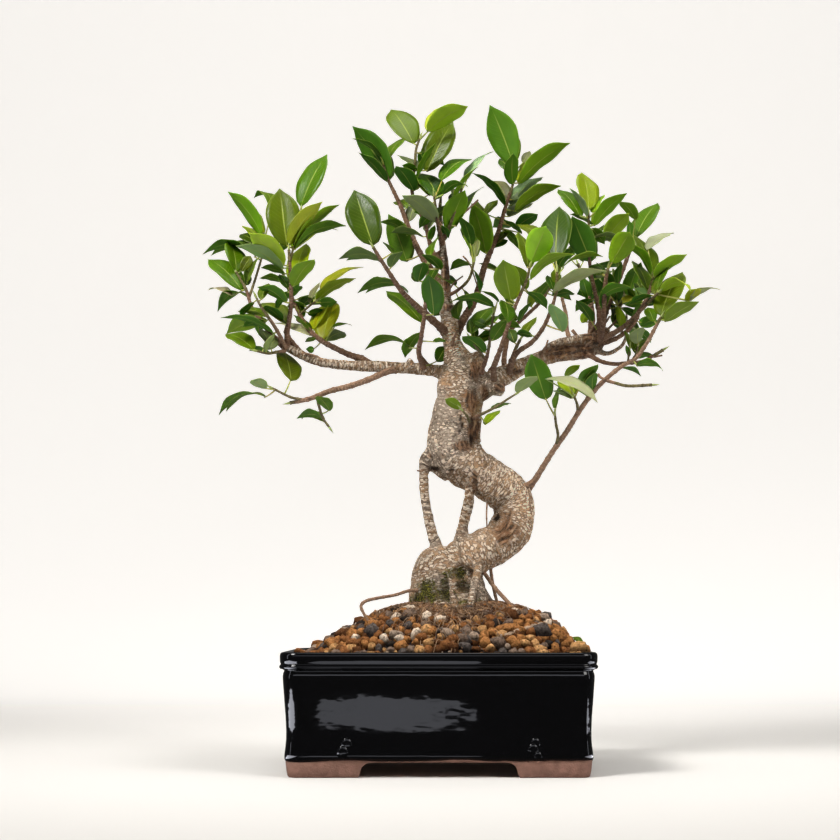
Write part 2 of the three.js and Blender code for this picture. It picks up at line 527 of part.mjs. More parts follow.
function geometryOf(solid) {
  const mesh = solid.getMesh();
  const geometry = new THREE.BufferGeometry();
  geometry.setAttribute('position', new THREE.BufferAttribute(new Float32Array(mesh.vertProperties), 3));
  geometry.setIndex(new THREE.BufferAttribute(new Uint32Array(mesh.triVerts), 1));
  geometry.computeVertexNormals();
  return geometry;
}

function joined(solids) {
  return solids.reduce((whole, next) => whole.add(next));
}

// The largest body of a solid: what a cut leaves loose is dropped.
function largestBody(solid) {
  return solid.decompose().reduce((best, body) => (body.volume() > best.volume() ? body : best));
}

// A closed loft through rings with the same number of points.
function loft(rings) {
  const count = rings[0].length;
  const positions = rings.flat().flatMap((point) => point.toArray());
  const index = [];
  for (let ring = 0; ring < rings.length - 1; ring += 1) {
    for (let k = 0; k < count; k += 1) {
      const [a, b] = [ring * count + k, ring * count + ((k + 1) % count)];
      index.push(a, b, b + count, a, b + count, a + count);
    }
  }
  const last = (rings.length - 1) * count;
  for (let k = 1; k < count - 1; k += 1) {
    index.push(0, k + 1, k);
    index.push(last, last + k, last + k + 1);
  }
  const geometry = new THREE.BufferGeometry();
  geometry.setAttribute('position', new THREE.Float32BufferAttribute(positions, 3));
  geometry.setIndex(index);
  return geometry;
}

// A round limb through its stations. Each ring's frame is carried on from the one before it.
function limb(stations, sides, extra = 0) {
  const places = stations.map(([across, down, depth]) => seen(across, down, depth));
  const normal = new THREE.Vector3(0, 1, 0);
  const rings = places.map((place, i) => {
    const before = places[Math.max(i - 1, 0)];
    const after = places[Math.min(i + 1, places.length - 1)];
    const tangent = after.clone().sub(before).normalize();
    normal.addScaledVector(tangent, -normal.dot(tangent)).normalize();
    const side = tangent.clone().cross(normal);
    const radius = stations[i][3] / 2 + extra;
    return Array.from({ length: sides }, (_, k) => {
      const angle = (2 * Math.PI * k) / sides;
      return place.clone()
        .addScaledVector(normal, radius * Math.cos(angle))
        .addScaledVector(side, radius * Math.sin(angle));
    });
  });
  return solidOf(loft(rings));
}

// ---------------------------------------------------------------- leaves

// The stem's place nearest to a leaf's base in the front view.
function nearestOnStems(stems, across, down) {
  let best = null;
  for (const stem of stems) {
    for (let i = 0; i < stem.length - 1; i += 1) {
      const [ax, ay, az] = stem[i];
      const [bx, by, bz] = stem[i + 1];
      const [dx, dy] = [bx - ax, by - ay];
      const share = ((across - ax) * dx + (down - ay) * dy) / (dx * dx + dy * dy);
      const along = THREE.MathUtils.clamp(share, 0, LEAF.lastHold);
      const place = [ax + along * dx, ay + along * dy, az + along * (bz - az)];
      const distance = Math.hypot(place[0] - across, place[1] - down);
      if (!best || distance < best.distance) best = { place, distance };
    }
  }
  return best.place;
}

// Root, base, tip, side and upper direction of a leaf, from its row and the stems that carry it.
function leafFrame(row, stems) {
  const [tipAcross, tipDown, baseAcross, baseDown, widthSeen, signedLength, arch] = row;
  const [rootAcross, rootDown, rootDepth] = nearestOnStems(stems, baseAcross, baseDown);
  const root = seen(rootAcross, rootDown, rootDepth);
  const towards = Math.sign(signedLength);
  const petiole = root.distanceTo(seen(baseAcross, baseDown, rootDepth));
  const baseDepth = rootDepth - 0.35 * towards * petiole;
  const base = seen(baseAcross, baseDown, baseDepth);
  const seenLength = base.distanceTo(seen(tipAcross, tipDown, baseDepth));
  const hiddenLength = Math.sqrt(Math.max(0, signedLength ** 2 - seenLength ** 2));
  const tip = seen(tipAcross, tipDown, baseDepth - towards * hiddenLength);
  const axis = tip.clone().sub(base);
  const length = axis.length();
  axis.normalize();

  // The blade is rolled about its axis until it looks as wide as it is seen to be, and of the two
  // ways to roll it, takes the one that turns its upper side more to the sky.
  const middle = base.clone().lerp(tip, 0.5);
  const step = middle.distanceTo(EYE) / VIEW.focal;
  const width = Math.max(LEAF.widthShare * length, widthSeen * step);
  const sight = EYE.clone().sub(middle).normalize();
  const flatSide = axis.clone().cross(sight).normalize();
  const facing = flatSide.clone().cross(axis).normalize();
  const roll = Math.acos(THREE.MathUtils.clamp((widthSeen * step) / width, 0.1, 1));
  const rolled = (angle) => facing.clone().multiplyScalar(Math.cos(angle)).addScaledVector(flatSide, -Math.sin(angle));
  const [one, other] = [rolled(roll), rolled(-roll)];
  const up = Math.abs(one.dot(UP)) >= Math.abs(other.dot(UP)) ? one : other;
  if (up.dot(UP) < 0) up.negate();
  const side = axis.clone().cross(up).normalize();
  return { root, base, tip, side, up, length, width, arch, petiole };
}

// A flat, thin blade on its petiole, bent along its midrib.
function leaf(row, stems, detailed = true) {
  const { root, base, tip, side, up, length, width, arch, petiole } = leafFrame(row, stems);
  const crest = base.clone().lerp(tip, 0.5).addScaledVector(up, 2 * arch * length);
  const midrib = new THREE.QuadraticBezierCurve3(base, crest, tip);
  const ring = (centre, along, halfWidth, halfThickness) => {
    const normal = side.clone().cross(along).normalize();
    return [[-1, 1], [1, 1], [1, -1], [-1, -1]].map(([across, over]) => centre.clone()
      .addScaledVector(side, across * halfWidth)
      .addScaledVector(normal, over * halfThickness));
  };
  const stalk = base.clone().sub(root).normalize();
  const stalkSide = stalk.clone().cross(up).normalize();
  const stalkBelow = stalkSide.clone().cross(stalk).normalize().negate();
  const keel = (centre, half) => [[-1, -0.6], [1, -0.6], [0, 1], [0, 1]].map(([across, below]) => centre.clone()
    .addScaledVector(stalkSide, across * half)
    .addScaledVector(stalkBelow, below * half));
  const shoulders = detailed && length > LEAF.largeLength ? LEAF.shoulders : [LEAF.shoulder];
  const rings = [];
  if (petiole > LEAF.shortestPetiole) {
    rings.push(keel(root, (LEAF.rootShare * LEAF.petiole) / 2), keel(base, LEAF.petiole / 2));
  } else {
    rings.push(ring(root, midrib.getTangent(shoulders[0].at), 0, LEAF.petiole / 2));
  }
  for (const shoulder of shoulders) {
    rings.push(ring(midrib.getPoint(shoulder.at), midrib.getTangent(shoulder.at),
      (shoulder.width * width) / 2, LEAF.thickness / 2));
  }
  rings.push(ring(tip, midrib.getTangent(1), 0, LEAF.thickness / 2));
  return solidOf(loft(rings));
}

// ---------------------------------------------------------------- pieces

// A rounded rectangle in plan, as a ring of points at one height.
function plan(inset, height, corner = POT.corner) {
  const points = [];
  const steps = 3;
  const radius = Math.max(corner - inset, 3);
  const centres = [[1, 1], [-1, 1], [-1, -1], [1, -1]];
  centres.forEach(([sx, sy], quarter) => {
    const x = sx * (POT.width / 2 - inset - radius);
    const y = sy * (POT.depth / 2 - inset - radius);
    for (let k = 0; k <= steps; k += 1) {
      const angle = (quarter + k / steps) * (Math.PI / 2);
      points.push(new THREE.Vector3(x + radius * Math.cos(angle), y + radius * Math.sin(angle), height));
    }
  });
  return points;
}

// The space between two feet: a low arch with rounded shoulders, through the whole pot.
function footGap(width, turn) {
  const half = width / 2;
  const top = POT.bodyBottom;
  const profile = new THREE.Shape();
  profile.moveTo(-half, -5);
  profile.lineTo(half, -5);
  profile.lineTo(half, top * 0.25);
  profile.quadraticCurveTo(half, top, half - FOOT_GAP.topInset, top);
  profile.lineTo(-half + FOOT_GAP.topInset, top);
  profile.quadraticCurveTo(-half, top, -half, top * 0.25);
  const length = 2 * POT.width;
  const geometry = new THREE.ExtrudeGeometry(profile, { depth: length, bevelEnabled: false, curveSegments: 3 });
  geometry.translate(0, 0, -length / 2);
  geometry.rotateX(Math.PI / 2);
  geometry.rotateZ(turn);
  return solidOf(geometry);
}

function pot() {
  const p = POT;
  const body = solidOf(loft([
    plan(p.footInset + 1.2, p.bodyBottom), plan(p.footInset, 12), plan(p.waistInset, p.waistHeight),
    plan(p.grooveInset + 0.8, 50), plan(p.grooveInset, p.rimBottom - 2.5), plan(0.4, p.rimBottom - 1.3),
    plan(0, p.rimBottom + 1), plan(0.2, p.height - 1.6), plan(1.2, p.height),
  ]));
  const inside = solidOf(loft([
    plan(p.wall + 4, p.floorTop), plan(p.wall + 2.4, 24), plan(p.wall + 1.2, 60), plan(p.wall - 1, p.height + 4),
  ]));
  const footRing = solidOf(loft([plan(p.footInset + 2, 0), plan(p.footInset + 0.8, p.bodyBottom + 1)]))
    .subtract(solidOf(loft([plan(p.footWall + 1.5, -4), plan(p.footWall - 1.5, p.bodyBottom + 4)])));
  const feet = footRing
    .subtract(footGap(FOOT_GAP.front, 0))
    .subtract(footGap(FOOT_GAP.side, Math.PI / 2));
  let whole = body.subtract(inside).add(feet);
  for (const side of [-1, 1]) {
    const drill = new THREE.CylinderGeometry(DRAIN_HOLE.radius, DRAIN_HOLE.radius, 30, DRAIN_HOLE.sides);
    drill.rotateX(Math.PI / 2);
    drill.translate(side * DRAIN_HOLE.offset, 0, p.floorTop);
    whole = whole.subtract(solidOf(drill));
  }
  return whole;
}

// A box as a solid, standing on the height `bottom`.
function block(x, y, bottom, width, depth, height) {
  const geometry = new THREE.BoxGeometry(width, depth, height);
  geometry.translate(x, y, bottom + height / 2);
  return solidOf(geometry);
}

// A square of plastic mesh over a drain hole.
function drainMesh() {
  const { size, thickness, strands, strandWidth } = DRAIN_MESH;
  const pitch = (size - strandWidth) / (strands - 1);
  let sheet = block(0, 0, 0, size, size, thickness);
  for (let column = 0; column < strands - 1; column += 1) {
    for (let row = 0; row < strands - 1; row += 1) {
      const [x, y] = [column, row].map((step) => (step + 0.5 - (strands - 1) / 2) * pitch);
      sheet = sheet.subtract(block(x, y, -1, pitch - strandWidth, pitch - strandWidth, thickness + 2));
    }
  }
  return sheet;
}

// Even random numbers from 0 to 1, the same on every run.
function randomFrom(seed) {
  let state = seed;
  return () => {
    state = (Math.imul(state, 1664525) + 1013904223) >>> 0;
    return state / 4294967296;
  };
}

// The mound's surface over a point of the pot, without its relief.
function moundHeight(x, y) {
  const halfWidth = POT.width / 2 - POT.wall;
  const halfDepth = POT.depth / 2 - POT.wall;
  const shift = SOIL.summitShift * (1 - (x / halfWidth) ** SOIL.shiftFade);
  const out = (Math.abs((x - shift) / halfWidth) ** 3 + Math.abs(y / halfDepth) ** 3) ** (1 / 3);
  return SOIL.rimLevel + SOIL.tilt * x / halfWidth + SOIL.moundHeight * (1 - Math.min(1, out) ** SOIL.steepness);
}

// A stone half sunk in the mound; a small one has fewer sides.
function stone(x, y, size, random) {
  const small = size < SOIL.smallStone;
  const geometry = small ? new THREE.OctahedronGeometry(size * 0.62) : new THREE.IcosahedronGeometry(size / 2);
  geometry.scale(1 + 0.3 * random(), 1, 0.75 + 0.3 * random());
  geometry.rotateZ(random() * Math.PI);
  geometry.rotateX(random() * 0.6);
  geometry.translate(x, y, moundHeight(x, y) + size * 0.12);
  return solidOf(geometry);
}

// The place where the front view shows the mound's surface at (across, down).
function onMound(across, down) {
  let near = -POT.depth / 2 + POT.wall;
  let far = 0;
  while (far - near > 0.1) {
    const depth = (near + far) / 2;
    const place = seen(across, down, depth);
    if (place.z > moundHeight(place.x, place.y)) near = depth;
    else far = depth;
  }
  return seen(across, down, near);
}

// The largest stones of the slope that faces the front: [across, down, size in mm].
const FRONT_STONES = [
  [343, 637, 8.5], [372, 634, 9], [361, 624, 7], [330, 645, 7.5], [365, 643, 7], [411, 617, 8.5],
  [541, 634, 10], [557, 637, 8.5], [509, 618, 9], [545, 619, 8], [474, 639, 8],
  [498, 645, 8], [440, 622, 6.5],
];

// Places all over the mound along a sunflower's spiral, past the trunk's foot: [x, y] in mm.
function strayPlaces() {
  const turn = Math.PI * (3 - Math.sqrt(5));
  const [reachX, reachY] = SOIL.stoneSpread;
  const places = [];
  for (let n = 0; n < SOIL.strayStones; n += 1) {
    const out = Math.sqrt((n + 0.5) / SOIL.strayStones);
    places.push([out * reachX * Math.cos(n * turn), out * reachY * Math.sin(n * turn)]);
  }
  return places.filter(([x, y]) => Math.hypot(x, y) > SOIL.bareAround);
}

function soil(rootSpace) {
  const random = randomFrom(SOIL.seed);
  const wallInset = (height) => {
    const share = THREE.MathUtils.clamp((height - 60) / (POT.height + 4 - 60), 0, 1);
    return POT.wall + 1.2 - 2.2 * share + FIT_GAP;
  };
  const outline = (scale, height) => {
    const inset = wallInset(SOIL.rimLevel - SOIL.tilt);
    const curve = new THREE.Path(plan(inset, 0).map((point) => new THREE.Vector2(point.x, point.y)));
    curve.closePath();
    return Array.from({ length: SOIL.pointsPerRing }, (_, k) => {
      const point = curve.getPointAt((k + 0.5) / SOIL.pointsPerRing);
      return new THREE.Vector3(point.x * scale, point.y * scale, height);
    });
  };
  const rings = [];
  for (let ring = 0; ring < SOIL.rings; ring += 1) {
    const scale = 1 - ring / SOIL.rings;
    rings.push(outline(scale, 0).map((point) => {
      const lift = ring === 0 ? 0 : SOIL.roughness * (2 * random() - 1);
      const shift = ring === 0 ? 0 : 1.2 * (2 * random() - 1);
      return new THREE.Vector3(point.x + shift, point.y - shift, moundHeight(point.x, point.y) + lift);
    }));
  }
  const below = solidOf(loft([
    plan(POT.wall + 4 + FIT_GAP, POT.floorTop + FIT_GAP), plan(POT.wall + 2.4 + FIT_GAP, 24),
    plan(POT.wall + 1.2 + FIT_GAP, 60), plan(wallInset(SOIL.rimLevel), SOIL.rimLevel - 2),
  ]));
  const bottom = outline(1, SOIL.rimLevel - 6).map((point) => point.multiply(new THREE.Vector3(0.99, 0.99, 1)));
  const above = solidOf(loft([bottom, ...rings]));
  const stones = FRONT_STONES.map(([across, down, size]) => {
    const place = onMound(across, down);
    return stone(place.x, place.y, size, random);
  });
  for (const [x, y] of strayPlaces()) stones.push(stone(x, y, 5.4 + 1.5 * random(), random));
  return largestBody(joined([below, above, ...stones]).subtract(rootSpace));
}

// The whole woody framework; `extra` thickens it all round for the spaces it is cut out of.
function wood(extra = 0) {
  return joined(WOOD.map(({ sides, stations }) => limb(stations, sides, extra)));
}

// A leafy shoot, cut back to the surface of the wood that it grows from.
function shoot({ stems, leaves }, woodSpace, detailed = true) {
  const parts = stems.map((stations) => limb(stations, TWIG_SIDES));
  parts.push(...leaves.map((row) => leaf(row, stems, detailed)));
  return largestBody(joined(parts).subtract(woodSpace));
}

// The rows of a shoot that repeats another one further back.
function leaningBack({ of, from, lean, leaves: chosen }) {
  const { stems, leaves } = SHOOTS[of];
  const [rootAcross, rootDown] = stems[0][0];
  const pushed = ([across, down, depth, thickness]) => {
    const share = Math.min(1, Math.hypot(across - rootAcross, down - rootDown) / LEAN_REACH);
    return [across, down, depth + lean * share * (2 - share), thickness];
  };
  const shrunk = ([tipAcross, tipDown, baseAcross, baseDown, width, length, arch]) => [
    baseAcross + (tipAcross - baseAcross) * BACK_LEAF_SHARE,
    baseDown + (tipDown - baseDown) * BACK_LEAF_SHARE,
    baseAcross, baseDown, width * BACK_LEAF_SHARE, -Math.abs(length), arch];
  const backStems = stems.map((stations) => stations.map(pushed));
  backStems[0][0] = [...from, stems[0][0][3]];
  return { stems: backStems, leaves: chosen.map((number) => shrunk(leaves[number])) };
}

// ---------------------------------------------------------------- the tree

const FINISH = {
  glaze: { color: 0x0b0c0e, roughness: 0.12, metalness: 0 },
  plastic: { color: 0x1d1f1c, roughness: 0.7, metalness: 0 },
  granules: { color: 0x8a6a49, roughness: 0.95, metalness: 0 },
  bark: { color: 0x8b7460, roughness: 0.9, metalness: 0 },
  leaf: { color: 0x4f7d2a, roughness: 0.45, metalness: 0 },
};

const tree = new THREE.Group();

function place(name, geometry, finish) {
  const mesh = new THREE.Mesh(geometry, new THREE.MeshStandardMaterial({ ...finish, flatShading: true }));
  mesh.name = name;
  tree.add(mesh);
  return mesh;
}

const woodSpace = wood(FIT_GAP);
const meshSpace = (side) => {
  const reach = DRAIN_MESH.size + 2 * FIT_GAP;
  const bottom = POT.floorTop - 1;
  return block(side * DRAIN_HOLE.offset, 0, bottom, reach, reach, 1 + DRAIN_MESH.thickness + 2 * FIT_GAP);
};

place('pot', geometryOf(pot()), FINISH.glaze);
place('soil', geometryOf(soil(joined([woodSpace, meshSpace(-1), meshSpace(1)]))), FINISH.granules);
place('trunk', geometryOf(wood()), FINISH.bark);
for (const [name, side] of [['drain_mesh_left', -1], ['drain_mesh_right', 1]]) {
  const mesh = place(name, geometryOf(drainMesh()), FINISH.plastic);
  mesh.position.set(side * DRAIN_HOLE.offset, 0, POT.floorTop + FIT_GAP);
}
for (const [name, rows] of Object.entries(SHOOTS)) {
  place(`shoot_${name}`, geometryOf(shoot(rows, woodSpace)), FINISH.leaf);
}
for (const [name, rows] of Object.entries(BACK_SHOOTS)) {
  place(`shoot_${name}`, geometryOf(shoot(leaningBack(rows), woodSpace, false)), FINISH.leaf);
}

// The origin goes under the middle of the whole.
const extent = new THREE.Box3().setFromObject(tree);
const middle = extent.getCenter(new THREE.Vector3());
tree.position.set(-middle.x, -middle.y, -extent.min.z);
tree.updateMatrixWorld(true);

export default tree;
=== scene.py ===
"""A ficus bonsai in a black glazed pot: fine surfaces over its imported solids, light and camera.

Lengths are in mm from the middle of the pot's foot surface until a mesh is made. A place in the
tree is [across, down, depth]: where it is in the front view, and how far behind the trunk's plane.
"""

import json
import math
import random

import bmesh
import bpy
import numpy as np
from mathutils import Matrix, Vector, noise

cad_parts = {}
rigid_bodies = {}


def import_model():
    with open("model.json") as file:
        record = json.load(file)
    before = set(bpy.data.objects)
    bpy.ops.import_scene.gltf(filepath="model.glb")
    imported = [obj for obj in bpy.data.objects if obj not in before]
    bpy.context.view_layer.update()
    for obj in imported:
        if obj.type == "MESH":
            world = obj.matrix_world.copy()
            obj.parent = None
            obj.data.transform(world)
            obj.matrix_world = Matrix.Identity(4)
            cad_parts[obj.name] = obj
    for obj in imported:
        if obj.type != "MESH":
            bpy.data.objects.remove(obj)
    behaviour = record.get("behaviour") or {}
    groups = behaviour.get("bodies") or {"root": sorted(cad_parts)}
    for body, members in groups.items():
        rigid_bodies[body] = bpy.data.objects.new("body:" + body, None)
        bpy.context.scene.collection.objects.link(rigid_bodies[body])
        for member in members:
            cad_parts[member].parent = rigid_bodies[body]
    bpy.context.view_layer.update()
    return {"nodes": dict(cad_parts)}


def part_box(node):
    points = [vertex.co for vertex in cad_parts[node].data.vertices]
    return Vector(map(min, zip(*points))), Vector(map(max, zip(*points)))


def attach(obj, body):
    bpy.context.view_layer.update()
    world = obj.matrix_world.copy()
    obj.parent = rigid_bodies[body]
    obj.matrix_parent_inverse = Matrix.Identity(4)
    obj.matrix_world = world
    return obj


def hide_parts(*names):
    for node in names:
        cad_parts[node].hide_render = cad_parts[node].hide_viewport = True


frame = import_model()

MM = 0.001
POT_LOW, POT_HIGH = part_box("pot")
POT_MIDDLE = Vector(((POT_LOW.x + POT_HIGH.x) / 2, (POT_LOW.y + POT_HIGH.y) / 2, 0))
UP = Vector((0, 0, 1))

# ---------------------------------------------------------------- the front view

VIEW_TILT = math.radians(7.65)  # the view looks up by this much
VIEW_MIDDLE = 420  # the picture's middle, in pixels across and down
VIEW_FOCAL = 1474  # focal length in pixels
VIEW_DISTANCE = 1025  # mm from the eye to the plane of the trunk
EYE = Vector((-12, -VIEW_DISTANCE, 100.2))
PICTURE_SIZE = 840
SENSOR = 36


def seen(across, down, depth):
    """The point, in mm, that is seen at (across, down), depth mm behind the plane of the trunk."""
    u = (across - VIEW_MIDDLE) / VIEW_FOCAL
    v = (VIEW_MIDDLE - down) / VIEW_FOCAL
    forward = math.cos(VIEW_TILT) - v * math.sin(VIEW_TILT)
    rise = math.sin(VIEW_TILT) + v * math.cos(VIEW_TILT)
    reach = (VIEW_DISTANCE + depth) / forward
    return Vector((EYE.x + u * reach, depth, EYE.z + rise * reach))


def view_of(points):
    """Where an array of points, in mm, is in the front view: arrays of across and down."""
    away = points - np.array(EYE)
    cos, sin = math.cos(VIEW_TILT), math.sin(VIEW_TILT)
    forward = away[:, 1] * cos + away[:, 2] * sin
    across = VIEW_MIDDLE + VIEW_FOCAL * away[:, 0] / forward
    down = VIEW_MIDDLE - VIEW_FOCAL * (away[:, 2] * cos - away[:, 1] * sin) / forward
    return across, down


# ---------------------------------------------------------------- wood
# Limbs: name and stations (across, down, depth mm, thickness mm), as in the solids.

WOOD = (
    ("root flare", (
        (450, 640, 0, 61), (450, 624, 0, 64), (449.5, 610, 0, 62), (447.5, 600, 0, 56.5), (445, 587, 0, 50),
        (443.5, 573, 0, 42), (449, 562, 0, 36), (454, 553, 0, 24))),
    ("trunk", (
        (446, 592, 0, 28), (450, 575, 0, 31), (461, 562, -1, 31), (475, 554, -2, 29), (490, 547.5, 0, 28),
        (504, 537.5, 4, 29), (511.5, 524.5, 7, 30), (514, 511, 8, 28.5), (510.5, 497.5, 8, 30),
        (500, 486.5, 6, 30), (485, 477, 3, 30.5), (469, 466.5, 0, 33), (456, 452, 0, 37),
        (453.8, 438, 0, 37.5), (456, 420, 0, 35.5), (459, 403, 0, 32.5), (460, 388, 0, 32),
        (461, 374, 0, 29), (458, 361, 0, 22), (454, 350, 0, 15.5))),
    ("leader", (
        (456, 362, 0, 16), (453, 346, 0, 13.5), (450, 332, -1, 12.5), (449, 318, -2, 12),
        (447, 308, -3, 11.5), (446, 299, -3, 8.5), (446, 288, -4, 7.2), (445, 270, -5, 6.5),
        (443, 250, -6, 5.4), (441, 232, -7, 4.4), (440, 212, -8, 3.4), (441, 192, -9, 2.2))),
    ("stump", (
        (471, 412, -8, 7), (477, 394, -7, 8.5), (478, 378, -6, 8.5), (478, 364, -5, 9.5),
        (476, 352.5, -4, 9))),
    ("left branch", (
        (463, 384, 0, 17), (449, 376, -1, 13.5), (438, 371.5, -2, 9.5), (420, 369, -3, 8.4),
        (395, 367.5, -5, 8), (370, 366.5, -7, 8), (345, 365, -9, 7), (320, 362, -11, 6.6),
        (300, 354, -13, 6.2), (282, 345, -16, 5.6))),
    ("branch knob", (
        (412, 368, -6, 5), (410, 361, -7, 4.5), (409, 358, -7, 2.6))),
    ("right branch", (
        (470, 398, 0, 16), (486, 386, -1, 16), (500, 377, -1, 15), (515, 370, 0, 12.5), (530, 363, 1, 11.2),
        (545, 357.5, 3, 11), (560, 354, 5, 11.2), (576, 351.5, 7, 12.5), (590, 350, 8, 11.5),
        (600, 343, 9, 8))),
    ("right knot", (
        (578, 352, 7, 8), (590, 347, 8, 11), (598, 339, 8, 12), (604, 333, 8, 9), (607, 328, 8, 5))),
    ("loop branch", (
        (541, 357, 2, 5.5), (549, 347.5, -1, 5.8), (560, 342, -2, 5.6), (574, 339.5, 0, 6),
        (588, 338.5, 4, 7.5), (597, 340, 7, 7))),
    ("bark lump", (
        (484, 381, -6, 7), (495, 388, -6, 10), (503, 392, -4, 7))),
    ("root collar", (
        (427, 462, -4, 8), (437, 466, -3, 12), (449, 471, -1, 16))),
    ("aerial root left", (
        (433, 452, -4, 11), (426, 461, -5, 10), (424, 472, -5, 7), (424, 486, -5, 6.6),
        (425.5, 501, -5, 6.6), (428.5, 518, -5, 6.8), (432, 533, -5, 7.4), (436, 546, -4, 8.2),
        (439, 556, -3, 9))),
    ("aerial root middle", (
        (473, 478, -6, 10), (470, 491, -7, 7.4), (468.5, 503, -7, 7.6), (465.5, 515, -6, 7.6),
        (463, 526, -5, 7.6), (461, 536, -4, 9.4), (461, 546, -3, 11))),
    ("front root left", (
        (440, 566, -12, 6), (447, 574, -19, 5.6), (450, 588, -25, 5.4), (454, 602, -30, 5.2),
        (457, 618, -33, 5))),
    ("front root right", (
        (478, 560, -8, 6), (478, 572, -17, 6.2), (473, 588, -23, 6.2), (471, 602, -27, 6),
        (470, 618, -30, 5.6))),
    ("right buttress", (
        (474, 560, 2, 10), (477, 576, 4, 9), (480, 592, 5, 10), (488, 606, 6, 11), (499, 622, 8, 12))),
    ("back buttress", (
        (446, 575, 12, 12), (448, 592, 24, 11), (452, 606, 36, 10), (456, 622, 46, 9))),
    ("surface root left", (
        (420, 590, -14, 2.4), (408, 591, -18, 2.2), (395, 595, -22, 2.1), (378, 598, -26, 2.1),
        (366, 601, -28, 2.2), (361, 606, -29, 2.2), (364, 614, -30, 2), (370, 624, -31, 1.9),
        (375, 640, -32, 1.8))),
    ("surface root right", (
        (478, 566, 0, 3), (485, 574, -6, 2.8), (495, 588, -12, 2.8), (506, 600, -17, 2.7),
        (518, 613, -22, 2.6), (534, 622, -26, 2.4), (552, 636, -28, 2))),
    ("prop root", (
        (490, 558, 2, 2.6), (491, 572, -1, 2.2), (494, 590, -4, 2.2), (498, 606, -8, 2.2),
        (502, 624, -10, 2))),
    ("bare twig", (
        (571, 343, 3, 3.6), (567, 330, 8, 3), (566, 315, 13, 2.8), (562, 298, 17, 2.2))),
    ("bare twig right", (
        (595, 351, 8, 4.6), (608, 353.5, 16, 3.6), (619, 348, 22, 3.3), (625, 340, 26, 3),
        (627, 326, 30, 2.4), (626, 311, 33, 2))),
)

# ---------------------------------------------------------------- leafy shoots
# Stems, as limbs are, and leaves: tip across and down, base across and down, width seen, length mm
# (above 0 where the tip is nearer the eye), arch as a share of the length, and tone.

